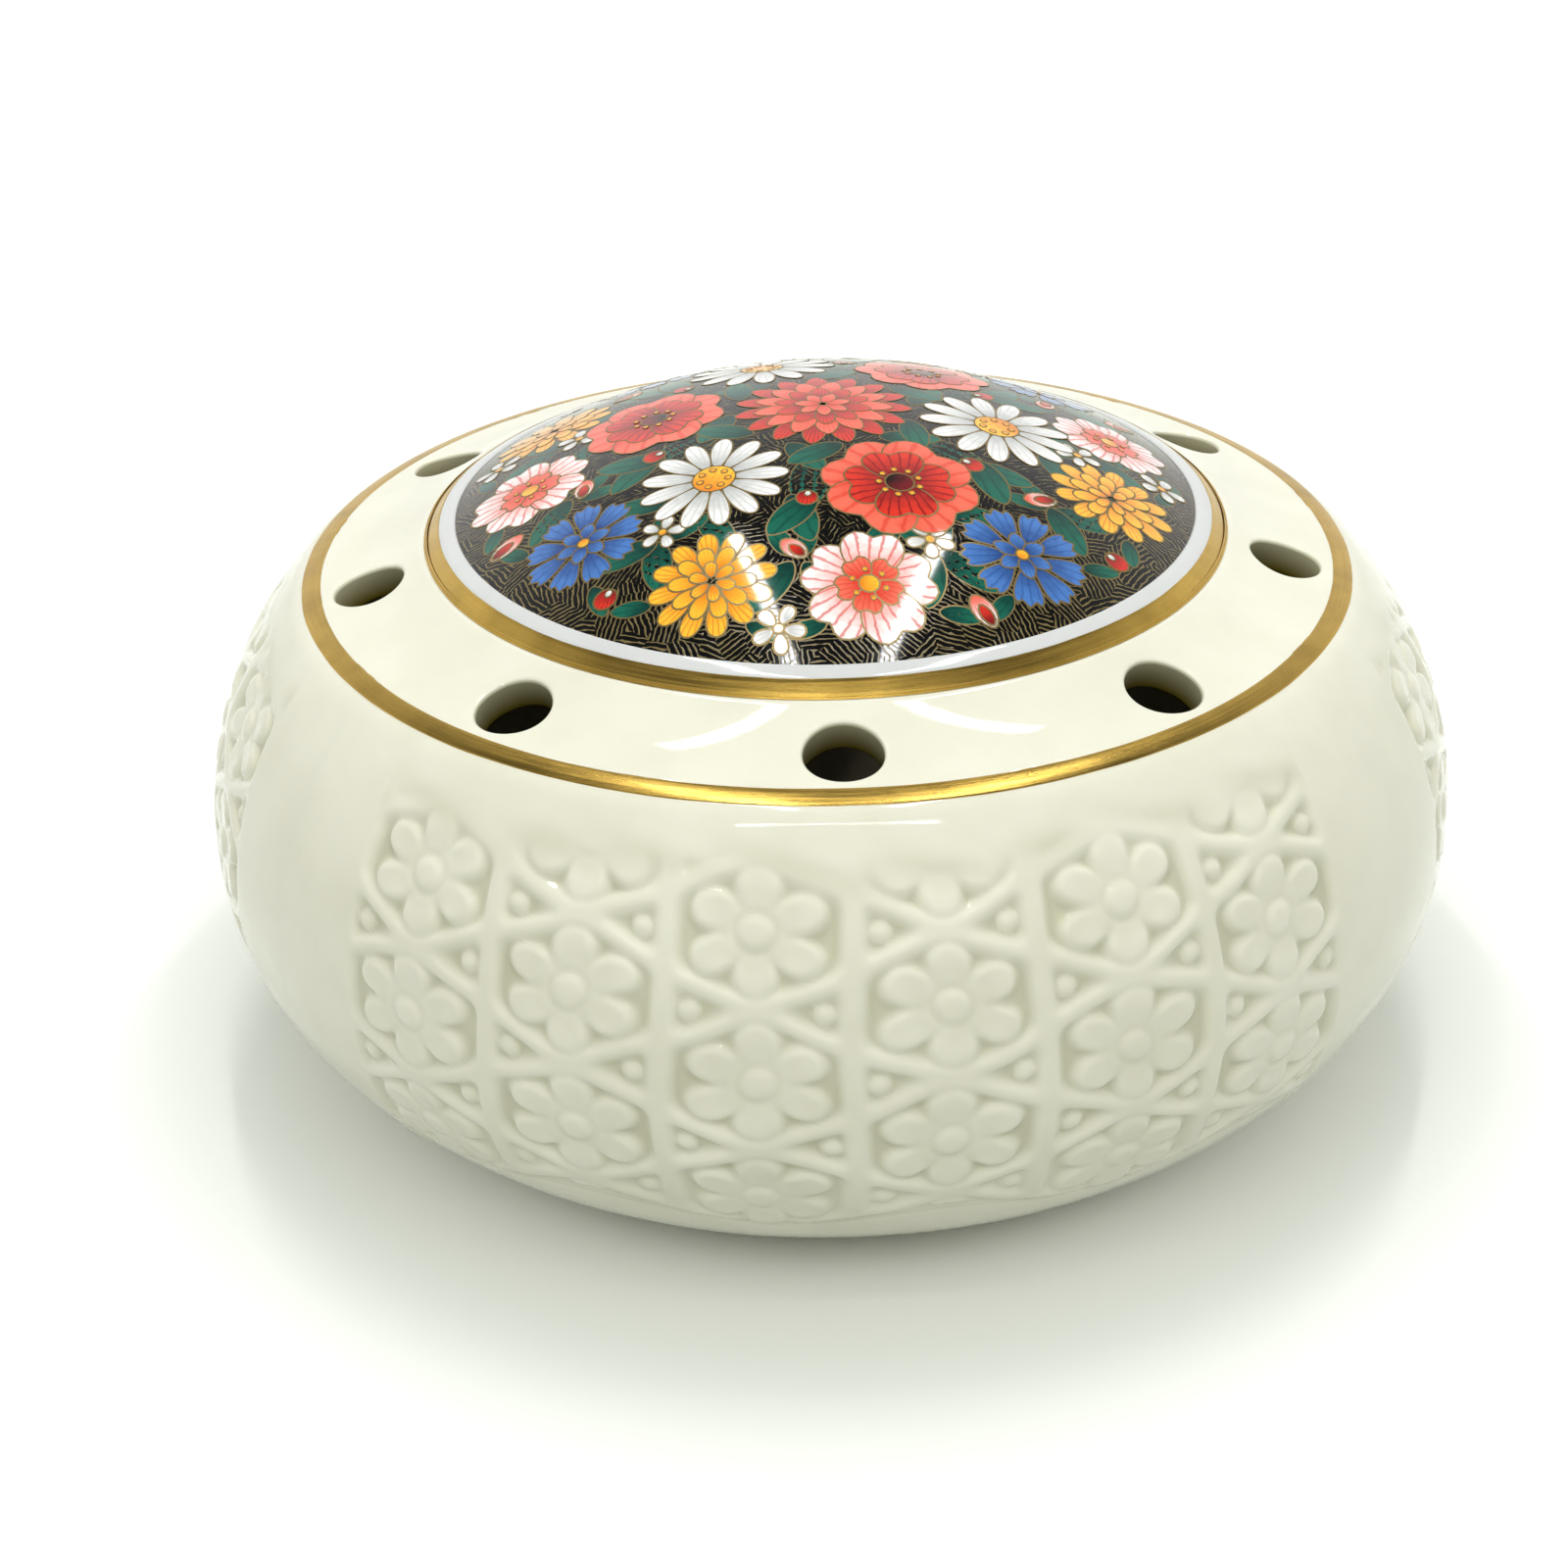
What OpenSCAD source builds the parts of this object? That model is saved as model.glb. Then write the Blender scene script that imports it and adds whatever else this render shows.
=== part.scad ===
// Squat porcelain potpourri vase: ivory bowl with a pierced shoulder, relief panels and a domed lid.
// Millimetres. Z up from the table, on the axis of the vase. The front panel faces -Y.

/* [Bowl] */
// Widest diameter of the body
body_d = 130; // [124:1:140]
// Height of the widest part above the table
belly_z = 29; // [28:0.5:32]
// Radius of the side's curve above the belly
upper_curve = 34.4; // [33:0.2:37]
// Radius of the side's curve below the belly
lower_curve = 26.8; // [25:0.2:27]
// Thickness of the porcelain
wall = 3.4; // [3:0.1:4]
// Radius of the mouth under the lid
mouth_r = 36; // [30:0.5:37]
// Outer radius of the foot ring
foot_r = 36; // [30:0.5:38]
// Width of the foot ring
foot_w = 4; // [3:0.5:6]

/* [Shoulder] */
// Radius of the shoulder's hollow curve
cove_curve = 27; // [26:0.5:30]
// Distance from the axis to the lowest line of the hollow curve
cove_r = 54.4; // [53:0.2:56]
// Height of the lowest line of the hollow curve
cove_z = 54.7; // [54:0.1:56]
// Height of the flat seat that the lid rests on
seat_z = 58.1; // [57.6:0.1:58.4]
// Number of scent vents
vents = 9; // [6:1:12]
// Diameter of a vent
vent_d = 7.7; // [5:0.1:8.5]
// Distance from the axis to a vent
vent_r = 46.8; // [46.4:0.1:47.4]

/* [Lid] */
// Radius of the lid's edge
lid_r = 40.9; // [40.5:0.1:41.2]
// Height of the gilt slope round the lid's edge
lid_slope_h = 1.45; // [1:0.05:2]
// Width of the gilt slope, seen from above
lid_slope_w = 1.5; // [1:0.05:2]
// Width of the white rim, seen from above
rim_w = 1.65; // [1:0.05:3]
// Rise of the white rim
rim_h = 0.6; // [0.2:0.05:1]
// Rise of the dome above its rim
dome_h = 10.5; // [8:0.25:14]
// Thickness of the lid
lid_wall = 3.2; // [2.5:0.1:3.5]
// Depth of the ring that keeps the lid centred
spigot_h = 6; // [4:0.5:8]
// Thickness of that ring
spigot_w = 2.6; // [2:0.1:3]
// Play between the ring and the mouth
lid_play = 0.5; // [0.3:0.1:1]

/* [Decoration] */
// Thickness of a gilt band or of the printed medallion
film = 0.3; // [0.2:0.05:0.4]
// Width of the gilt band on top of the shoulder's corner
band_w = 2.2; // [1:0.1:3]
// Drop of the gilt band down the side
band_drop = 0.7; // [0.4:0.1:1.2]

/* [Relief] */
// Columns of flowers on the front panel
front_columns = 6; // [5:1:7]
// Angle that the front panel takes round the body
front_angle = 93; // [88:1:98]
// Columns of flowers on a side panel
side_columns = 7; // [6:1:8]
// Plain band between two panels
band_angle = 20; // [14:1:30]
// Thickness of a relief panel
panel_t = 1.6; // [1.4:0.1:1.8]
// Depth of the ground below the ribs
relief_depth = 1.1; // [0.8:0.05:1.2]
// Distance between flowers in a column, along the side
row_step = 14; // [13:0.1:15]
// Distance from the belly up to the middle row of the first column
row_shift = 3; // [1:0.1:4]
// Top edge of a panel above the belly, along the side
panel_top = 24; // [22:0.5:25]
// Bottom edge of a panel below the belly, along the side
panel_bottom = 17; // [16:0.5:19]
// Width of a rib
rib_w = 2.2; // [1.8:0.1:2.6]
// Radius of a petal
petal_r = 2.1; // [1.8:0.05:2.2]
// Gap between a petal and the rib above or below it
petal_gap = 0.35; // [0.2:0.05:0.6]
// Radius of a flower's button
button_r = 1.5; // [1:0.1:1.7]
// Width of the groove round the button
groove_w = 0.5; // [0.3:0.1:0.7]
// Radius of a bead
bead_r = 0.8; // [0.5:0.05:0.9]

/* [Hidden] */
$fn = 96;
body_r = body_d / 2;
floor_z = belly_z - lower_curve;
cove = [cove_r, cove_z + cove_curve];
side = [body_r - upper_curve, belly_z];
// Where the side's curve meets the shoulder's hollow curve
corner = cross_point(side, upper_curve, cove, cove_curve);
// Height of the corner inside, where the bowl ends and its shoulder starts
shoulder_z = cross_point(side, upper_curve - wall, cove, cove_curve + wall)[1];
vent_tilt = asin((cove_r - vent_r) / cove_curve);
vent_z = cove[1] - cove_curve * cos(vent_tilt);
slope_top = [lid_r - lid_slope_w, seat_z + lid_slope_h];
rim_in = [slope_top[0] - rim_w, slope_top[1] + rim_h];
dome_top = rim_in[1] + dome_h;
dome_r = (rim_in[0] * rim_in[0] + dome_h * dome_h) / (2 * dome_h);
spigot_r = mouth_r - lid_play;
side_angle = (360 - front_angle - 3 * band_angle) / 2;
side_turn = front_angle / 2 + band_angle + side_angle / 2;
ivory = [0.91, 0.9, 0.82];
gold = [0.78, 0.62, 0.24];

// The outer one of the two points where two circles meet.
function cross_point(a, ra, b, rb) =
    let (d = norm(b - a), u = (b - a) / d, k = (d * d + ra * ra - rb * rb) / (2 * d),
         h = sqrt(ra * ra - k * k))
    a + u * k + [u[1], -u[0]] * h;

// A point on the side: s is the distance up from the belly along the curve.
function side_curve(s) = s >= 0 ? upper_curve : lower_curve;
function side_tilt(s) = s / side_curve(s) * 180 / PI;
function side_r(s) = body_r - side_curve(s) * (1 - cos(side_tilt(s)));
function side_z(s) = belly_z + side_curve(s) * sin(side_tilt(s));

// Half section of the body below the seat, moved in from its outer face by t.
module side_2d(t) {
    difference() {
        intersection() {
            union() {
                translate([0, belly_z]) square([side[0], seat_z - belly_z]);
                translate(side) circle(upper_curve - t);
            }
            translate([0, belly_z]) square([body_r - t, seat_z - belly_z]);
        }
        translate(cove) circle(cove_curve + t);
    }
    intersection() {
        union() {
            translate([0, floor_z + t]) square([body_r - lower_curve, lower_curve - t]);
            translate([body_r - lower_curve, belly_z]) circle(lower_curve - t);
        }
        translate([0, floor_z]) square([body_r - t, lower_curve]);
    }
}

// Section of the gilt film over the shoulder's corner.
module shoulder_band_2d() {
    difference() {
        intersection() {
            side_2d(0);
            translate([corner[0] - band_w, corner[1] - band_drop]) square([body_r, seat_z]);
        }
        side_2d(film);
    }
}

// Section of a strip of the side between depths t0 and t1.
module strip_2d(t0, t1) {
    intersection() {
        difference() {
            side_2d(t0);
            side_2d(t1);
        }
        translate([side[0], side_z(-panel_bottom)])
            square([body_r, side_z(panel_top) - side_z(-panel_bottom)]);
    }
}

// A strip of the side that takes an angle round the body.
module side_patch(angle, t0, t1) {
    rotate([0, 0, -90 - angle / 2]) rotate_extrude(angle = angle) strip_2d(t0, t1);
}

// Half section of the porcelain that the bowl and its shoulder are cast in.
module casting_2d() {
    difference() {
        union() {
            side_2d(0);
            translate([foot_r - foot_w, 0]) square([foot_w, floor_z + wall / 2]);
        }
        intersection() {
            side_2d(wall);
            square([body_r, seat_z - wall]);
        }
        translate([0, belly_z]) square([mouth_r, seat_z]);
        shoulder_band_2d();
    }
}

module bowl() {
    color(ivory) difference() {
        rotate_extrude() intersection() {
            casting_2d();
            square([body_r, shoulder_z]);
        }
        side_patch(front_angle, -panel_t, panel_t);
        for (turn = [-1, 1]) rotate([0, 0, turn * side_turn]) side_patch(side_angle, -panel_t, panel_t);
    }
}

module shoulder() {
    color(ivory) difference() {
        rotate_extrude() intersection() {
            casting_2d();
            translate([0, shoulder_z]) square([body_r, seat_z]);
        }
        for (i = [0 : vents - 1]) rotate([0, 0, -90 + i * 360 / vents]) translate([vent_r, 0, vent_z])
            rotate([0, -vent_tilt, 0]) cylinder(d = vent_d, h = 4 * wall, center = true);
    }
}

// Puts a piece on the side: its Z points out of the body, its X down along the side.
module on_side(angle, s) {
    rotate([0, 0, angle - 90]) translate([side_r(s), 0, side_z(s)])
        rotate([0, 90 - side_tilt(s), 0]) children();
}

// Half the width of a hexagon at s, between the middles of its upright ribs.
function half_width(step, s) = step / 2 * PI / 180 * side_r(s);
// Slope of the ribs that run across, seen on the side.
function rib_slope(step, s) = atan(row_step / 4 / half_width(step, s));

// A cutter for a sunk cell: it reaches from above the ribs to below the ground.
module cell(angle, s) {
    on_side(angle, s) translate([0, 0, -2 * relief_depth]) linear_extrude(4 * relief_depth) children();
}

// The sunk hexagon between the ribs, with a flower of six petals left standing in it.
module hexagon_2d(step, s) {
    x = half_width(step, s) - rib_w / 2;
    tip = row_step / 2 - rib_w / 2 / cos(rib_slope(step, s));
    low = tip - x * tan(rib_slope(step, s));
    difference() {
        polygon([[tip, 0], [low, x], [-low, x], [-tip, 0], [-low, -x], [low, -x]]);
        difference() {
            for (i = [0 : 5]) translate([(tip - petal_r - petal_gap) * cos(60 * i), 0.56 * x * sin(60 * i)])
                circle(petal_r);
            circle(button_r + groove_w);
        }
        circle(button_r);
    }
}

// The sunk triangle beside a hexagon, pointing right (turn 1) or left (turn -1), with its bead.
module triangle_2d(step, s, turn) {
    half = half_width(step, s);
    slope = rib_slope(step, s);
    base = (half - rib_w / 2) * tan(slope) - rib_w / 2 / cos(slope);
    back = turn * (rib_w / 2 - half / 3);
    difference() {
        polygon([[base, back], [-base, back], [0, turn * (half * 2 / 3 - rib_w / 2 / sin(slope))]]);
        translate([0, back + turn * base]) circle(bead_r);
    }
}

// Heights of the flowers in a column: every second column is half a row higher.
function rows(i) = let (odd = abs(i) % 2) [for (k = [1, 0, -1]) row_shift + row_step * (k + odd / 2)];

// One relief panel, with ribs, flowers and beads left standing on the sunk ground.
module relief_panel(columns, angle) {
    step = angle / columns;
    difference() {
        side_patch(angle, 0, panel_t);
        difference() {
            for (i = [-1 : columns], s = rows(i)) {
                a = (i - (columns - 1) / 2) * step;
                if (i >= 0 && i < columns) cell(a, s) hexagon_2d(step, s);
                for (turn = [-1, 1]) if (abs(a + turn * step * 2 / 3) < angle / 2)
                    cell(a + turn * step * 2 / 3, s) triangle_2d(step, s, turn);
            }
            rotate_extrude() side_2d(relief_depth);
        }
    }
}

module relief_panel_front() { color(ivory) relief_panel(front_columns, front_angle); }

module relief_panel_right() { color(ivory) rotate([0, 0, side_turn]) relief_panel(side_columns, side_angle); }

module relief_panel_left() { color(ivory) rotate([0, 0, -side_turn]) relief_panel(side_columns, side_angle); }

module shoulder_gilt_band() { color(gold) rotate_extrude() shoulder_band_2d(); }

// Section of the gilt film on the lid's sloping edge.
module lid_band_2d() {
    across = [slope_top[1] - seat_z, lid_r - slope_top[0]] * film / norm([lid_slope_w, lid_slope_h]);
    polygon([[lid_r, seat_z], slope_top, slope_top - across, [lid_r, seat_z] - [across[0], 0]]);
}

module medallion_2d() {
    intersection() {
        translate([0, dome_top - dome_r]) difference() {
            circle(dome_r);
            circle(dome_r - film);
        }
        translate([0, belly_z]) square([rim_in[0], body_r]);
    }
}

module lid() {
    color([0.95, 0.96, 0.94]) rotate_extrude() difference() {
        union() {
            polygon([[0, seat_z], [lid_r, seat_z], slope_top, rim_in, [0, rim_in[1]]]);
            intersection() {
                translate([0, dome_top - dome_r]) circle(dome_r);
                translate([0, rim_in[1]]) square([rim_in[0], dome_h]);
            }
            translate([spigot_r - spigot_w, seat_z - spigot_h]) square([spigot_w, spigot_h]);
        }
        intersection() {
            translate([0, dome_top - dome_r]) circle(dome_r - lid_wall);
            translate([0, seat_z - spigot_h]) square([spigot_r - spigot_w, body_r]);
        }
        lid_band_2d();
        medallion_2d();
    }
}

module lid_gilt_band() { color(gold) rotate_extrude() lid_band_2d(); }

module lid_medallion() { color([0.1, 0.1, 0.1]) rotate_extrude() medallion_2d(); }

bowl();
shoulder();
relief_panel_front();
relief_panel_right();
relief_panel_left();
shoulder_gilt_band();
lid();
lid_gilt_band();
lid_medallion();
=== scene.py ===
import math
import random

import bmesh
import bpy
import numpy as np
from bpy.props import FloatProperty, FloatVectorProperty, IntProperty, PointerProperty
from mathutils import Matrix, Vector


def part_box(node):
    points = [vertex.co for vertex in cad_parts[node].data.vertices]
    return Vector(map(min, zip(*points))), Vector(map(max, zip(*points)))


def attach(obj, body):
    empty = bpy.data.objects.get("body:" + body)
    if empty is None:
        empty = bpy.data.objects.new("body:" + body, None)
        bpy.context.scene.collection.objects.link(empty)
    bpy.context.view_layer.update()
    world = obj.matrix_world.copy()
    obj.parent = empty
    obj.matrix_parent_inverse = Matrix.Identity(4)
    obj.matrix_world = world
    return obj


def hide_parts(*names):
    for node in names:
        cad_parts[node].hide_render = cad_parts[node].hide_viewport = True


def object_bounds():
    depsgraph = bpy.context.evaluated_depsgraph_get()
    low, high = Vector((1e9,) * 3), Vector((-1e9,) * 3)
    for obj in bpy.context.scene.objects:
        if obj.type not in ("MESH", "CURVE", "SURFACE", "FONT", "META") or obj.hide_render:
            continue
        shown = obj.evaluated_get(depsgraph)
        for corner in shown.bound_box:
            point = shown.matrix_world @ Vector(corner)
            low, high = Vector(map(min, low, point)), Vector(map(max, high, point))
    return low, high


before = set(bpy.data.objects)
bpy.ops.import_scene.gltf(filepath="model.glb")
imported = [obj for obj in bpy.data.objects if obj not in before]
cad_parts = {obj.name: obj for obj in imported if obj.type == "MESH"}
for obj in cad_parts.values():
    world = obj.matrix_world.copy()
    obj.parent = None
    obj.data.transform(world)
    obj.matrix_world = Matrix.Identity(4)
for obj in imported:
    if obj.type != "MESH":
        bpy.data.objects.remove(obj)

bl_info = {
    "name": "Potpourri Vase",
    "version": (1, 0, 0),
    "blender": (4, 5, 0),
    "location": "3D View > Sidebar > Vase",
    "description": "Models a lidded porcelain potpourri vase on its packed frame",
    "category": "Add Mesh",
}

MM = 0.001
CAD_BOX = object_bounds()
BAND_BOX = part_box("lid_gilt_band")
PRINT_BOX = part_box("lid_medallion")
# Side and shoulder meet at a turn of 40 degrees, so a rounding starts tan(20 degrees) of its radius away
HALF_TURN = math.radians(20)
CORNER_REACH = math.tan(HALF_TURN)
# Radii at which the vents' part of the shoulder starts, and at which it ends on top and underneath
SHOULDER_IN, SHOULDER_OUT, UNDER_OUT = 41.6 * MM, 52.2 * MM, 51.6 * MM
# Steps along the border of one vent's share of the shoulder, which the skins beside it follow
VENT_STEPS = 32
# Depth of the step by which the porcelain goes under the gilt band
TUCK = 0.12 * MM
# Ends of the lattice's fine mesh, up the side from the belly
LATTICE_TOP, LATTICE_FOOT = 25 * MM, -17.6 * MM
# Depth of the print's ground below the CAD's dome, and step from one layer of petals to the next
SINK, LAYER = 0.16 * MM, 0.009 * MM
PORCELAIN_IOR = 1.52


def linear(code):
    """Linear RGBA of an sRGB hex colour."""
    values = [int(code[i:i + 2], 16) / 255 for i in (1, 3, 5)]
    return tuple(v / 12.92 if v <= 0.04045 else ((v + 0.055) / 1.055) ** 2.4 for v in values) + (1.0,)


def length(name, text, default):
    """A size in metres that a user may change."""
    return FloatProperty(name=name, description=text, default=default, subtype="DISTANCE", unit="LENGTH")


def turn(name, text, degrees):
    """An angle that a user may change."""
    return FloatProperty(name=name, description=text, default=math.radians(degrees), subtype="ANGLE",
                         unit="ROTATION")


def colour(name, text, code):
    """A colour that a user may change."""
    return FloatVectorProperty(name=name, description=text, default=linear(code), size=4, subtype="COLOR",
                               min=0, max=1)


class BowlSettings(bpy.types.PropertyGroup):
    """Sizes and glaze of the bowl"""
    body_radius: length("Body radius", "Largest radius of the body", CAD_BOX[1].y)
    belly_height: length("Belly height", "Height of the widest part", 29 * MM)
    upper_curve: length("Upper curve", "Radius of the side's curve above the belly", 34.4 * MM)
    lower_curve: length("Lower curve", "Radius of the side's curve below the belly", 26.8 * MM)
    wall: length("Wall", "Thickness of the porcelain", 3.4 * MM)
    mouth_radius: length("Mouth radius", "Radius of the mouth under the lid", 36 * MM)
    foot_radius: length("Foot radius", "Outer radius of the foot ring", 36 * MM)
    foot_width: length("Foot width", "Width of the foot ring", 4 * MM)
    cove_curve: length("Cove curve", "Radius of the shoulder's hollow curve", 27 * MM)
    cove_radius: length("Cove radius", "Distance from the axis to the cove's lowest line", 54.4 * MM)
    cove_height: length("Cove height", "Height of the cove's lowest line", 54.7 * MM)
    seat_height: length("Seat height", "Height of the seat that the lid rests on", BAND_BOX[0].z)
    vent_count: IntProperty(name="Vents", description="Number of scent vents", default=9, min=3)
    vent_radius: length("Vent radius", "Radius of a vent", 3.65 * MM)
    vent_circle: length("Vent circle", "Distance from the axis to a vent", 46.8 * MM)
    vent_round: length("Vent rounding", "Rounding of a vent's glazed edge", 0.45 * MM)
    glaze: colour("Glaze", "Ivory glaze on open surfaces", "#f1f0dc")
    pooled: colour("Pooled glaze", "Glaze where it lies thick in the relief", "#d2d1b4")
    # The vent wall colour is painted shade inside the vents
    vent_wall_shade: colour("Vent wall", "Thick glaze inside the vents", "#655918")
    biscuit: colour("Biscuit", "Unglazed porcelain inside the bowl", "#aaa289")
    corner_round: length("Corner rounding", "Radius of the rounded edge of the shoulder", 6 * MM)


class ReliefSettings(bpy.types.PropertyGroup):
    """Lattice and flowers cast in the side"""
    front_columns: IntProperty(name="Front columns", description="Flower columns on the front panel",
                               default=6)
    side_columns: IntProperty(name="Side columns", description="Flower columns on a side panel",
                              default=7)
    front_angle: turn("Front angle", "Angle that the front panel takes", 93)
    plain_angle: turn("Plain band", "Plain band between two panels", 20)
    row_step: length("Row step", "Distance between flowers in a column", 14 * MM)
    row_shift: length("Row shift", "Height of the first column's middle flower above the belly", 3 * MM)
    depth: length("Depth", "Depth of the ground below the ribs", 0.85 * MM)
    upright_half: length("Upright rib", "Half the width of an upright rib at its foot", 1.6 * MM)
    slope_half: length("Sloping rib", "Half the width of a sloping rib at its foot", 1.4 * MM)
    rib_round: length("Rib rounding", "Rounding of a rib's edges", 1.05 * MM)
    flower_height: length("Flower half height", "Half the height of a flower", 6.7 * MM)
    flower_share: FloatProperty(name="Flower share", default=0.45,
                                description="Half a flower's width, as a share of a column's")
    button_radius: length("Button radius", "Radius of a flower's button", 1.6 * MM)
    bead_radius: length("Bead radius", "Radius of a bead in a triangle", 1.15 * MM)
    pitch: length("Mesh pitch", "Distance between the vertices that carry the relief", 0.3 * MM)


class GildingSettings(bpy.types.PropertyGroup):
    """Gilt bands"""
    film: length("Film", "Thickness of the gilding", 0.3 * MM)
    proud: length("Stand-off", "Height of the gilding above the glaze", 0.015 * MM)
    band_width: length("Band width", "Width of the band on top of the shoulder", 1.9 * MM)
    band_drop: length("Band drop", "Length of the band down the side", 0.45 * MM)
    gold: colour("Gold", "Burnished gold", "#d0ac54")
    gold_dark: colour("Worn gold", "Gold where it is thin", "#8a6d2a")


class LidSettings(bpy.types.PropertyGroup):
    """Sizes and glaze of the lid"""
    edge_radius: length("Edge radius", "Radius of the lid's edge", BAND_BOX[1].x)
    slope_top: length("Slope top", "Height of the top of the gilt slope", BAND_BOX[1].z)
    slope_width: length("Slope width", "Width of the gilt slope from above", 1.5 * MM)
    print_radius: length("Print radius", "Radius of the printed medallion", PRINT_BOX[1].x)
    rim_rise: length("Rim rise", "Rise of the white rim", 0.6 * MM)
    top: length("Top", "Height of the dome's top", PRINT_BOX[1].z)
    wall: length("Wall", "Thickness of the lid", 3.2 * MM)
    spigot_depth: length("Spigot depth", "Depth of the ring that centres the lid", 6 * MM)
    spigot_width: length("Spigot width", "Thickness of that ring", 2.6 * MM)
    play: length("Play", "Play between the ring and the mouth", 0.5 * MM)
    white: colour("White glaze", "Glaze of the lid", "#dadcd9")


class PrintSettings(bpy.types.PropertyGroup):
    """Colours of the printed medallion"""
    outline: length("Outline", "Width of the gold line round a petal", 0.15 * MM)
    ground: colour("Ground", "Black ground", "#0d0d0c")
    gold_line: colour("Gold line", "Fine printed gold", "#85764c")
    red: colour("Red", "Red petals", "#e03a2a")
    dark_red: colour("Dark red", "Shade of the red petals", "#7a1a20")
    coral: colour("Coral", "Coral petals", "#f4745c")
    orange: colour("Orange", "Orange petals", "#f08a24")
    yellow: colour("Yellow", "Yellow petals and centres", "#fbc53c")
    white: colour("White", "White petals", "#f6f6f2")
    grey: colour("Grey", "Shade of the white petals", "#b9bcb8")
    blue: colour("Blue", "Blue petals", "#4f7fc4")
    dark_blue: colour("Dark blue", "Shade of the blue petals", "#23407c")
    green: colour("Green", "Leaves", "#1f6a56")
    dark_green: colour("Dark green", "Shade of the leaves", "#0e3a33")


class StageSettings(bpy.types.PropertyGroup):
    """Camera and studio"""
    elevation: turn("Elevation", "Height of the camera's view above the horizon", 28.67)
    azimuth: turn("Azimuth", "Turn of the camera round the vase", -0.65)
    roll: turn("Roll", "Turn of the camera about its own axis", -1.451)
    distance: length("Distance", "Distance from the camera to its target", 321.3 * MM)
    target: FloatVectorProperty(name="Target", description="Point in the middle of the picture",
                                default=(-4.857 * MM, 0, 27.2 * MM), subtype="XYZ", unit="LENGTH")
    lens: FloatProperty(name="Lens", description="Focal length in millimetres", default=68.6)
    floor: colour("Floor", "Pale floor", "#f8fbf4")


# Meshes

def deselect():
    """Leaves edit mode and drops the selection, so that the next operator acts on its own piece."""
    if bpy.context.object and bpy.context.object.mode != "OBJECT":
        bpy.ops.object.mode_set(mode="OBJECT")
    bpy.ops.object.select_all(action="DESELECT")


def take(piece):
    """Makes one piece the only selected and active one."""
    deselect()
    piece.select_set(True)
    bpy.context.view_layer.objects.active = piece


def edit(piece, select="VERT"):
    """Opens a piece in edit mode with all of it selected."""
    take(piece)
    bpy.ops.object.mode_set(mode="EDIT")
    bpy.ops.mesh.select_mode(type=select)
    bpy.ops.mesh.select_all(action="SELECT")


def named(name):
    """The piece that was just added, named and with its place in its mesh."""
    piece = bpy.context.object
    piece.name = name
    piece.data.name = name
    bpy.ops.object.transform_apply(location=True, rotation=True, scale=True)
    return piece


def draw_profile(name, points, closed=False):
    """A line of vertices in the XZ plane, extruded from its first point to each next one."""
    points = np.array(points, float).tolist()
    deselect()
    bpy.ops.mesh.primitive_plane_add(size=MM, location=(points[0][0], 0, points[0][1]))
    piece = named(name)
    edit(piece)
    bpy.ops.mesh.merge(type="CENTER")
    for (r0, z0), (r1, z1) in zip(points, points[1:]):
        bpy.ops.mesh.extrude_region_move(TRANSFORM_OT_translate={"value": (r1 - r0, 0, z1 - z0)})
    if closed:
        bm = bmesh.from_edit_mesh(piece.data)
        bm.verts.ensure_lookup_table()
        bm.verts[0].select = True
        bm.select_flush_mode()
        bmesh.update_edit_mesh(piece.data)
        bpy.ops.mesh.edge_face_add()
    return piece


def sweep(piece, angle, steps):
    """Turns a half section round the vase's axis."""
    take(piece)
    screw = piece.modifiers.new("sweep", "SCREW")
    screw.axis = "Z"
    screw.angle = angle
    screw.steps = screw.render_steps = steps
    bpy.ops.object.modifier_apply(modifier=screw.name)


def spin_round(name, points, steps, closed=False):
    """A piece turned on the vase's axis from its half section."""
    piece = draw_profile(name, points, closed)
    sweep(piece, 2 * math.pi, steps)
    close_up(piece)
    return piece


def close_up(piece, gap=0.004 * MM):
    """Merges doubled vertices and turns the faces outwards."""
    edit(piece)
    bpy.ops.mesh.remove_doubles(threshold=gap)
    bpy.ops.mesh.normals_make_consistent(inside=False)
    deselect()


def loft(name, rings):
    """A skin through rings of points: a circle is set on the first ring and extruded to each next one."""
    deselect()
    bpy.ops.mesh.primitive_circle_add(vertices=len(rings[0]), radius=MM)
    piece = named(name)
    spokes = piece.data.attributes.new("spoke", "INT", "POINT")
    spokes.data.foreach_set("value", list(range(len(rings[0]))))
    edit(piece)
    for number, ring in enumerate(rings):
        if number:
            bpy.ops.mesh.extrude_region_move()
        bm = bmesh.from_edit_mesh(piece.data)
        spoke = bm.verts.layers.int["spoke"]
        for vertex in bm.verts:
            if vertex.select:
                vertex.co = ring[vertex[spoke]]
        bmesh.update_edit_mesh(piece.data)
    deselect()
    piece.data.attributes.remove(piece.data.attributes["spoke"])
    return piece


def copy_of(piece, name, matrix):
    """A moved copy of a piece, with a mesh of its own."""
    twin = bpy.data.objects.new(name, piece.data.copy())
    twin.data.name = name
    twin.data.transform(matrix)
    bpy.context.scene.collection.objects.link(twin)
    return twin


def join(pieces, name):
    """One piece made of several."""
    deselect()
    for piece in pieces:
        piece.select_set(True)
    bpy.context.view_layer.objects.active = pieces[0]
    bpy.ops.object.join()
    return named(name)


def points_of(piece):
    """The vertices of a piece as an array."""
    places = np.zeros(len(piece.data.vertices) * 3)
    piece.data.vertices.foreach_get("co", places)
    return places.reshape(-1, 3)


def polar(places):
    """Distance of points from the vase's axis, and angle round it from the front."""
    return np.hypot(places[:, 0], places[:, 1]), np.arctan2(places[:, 0], -places[:, 1])


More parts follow.
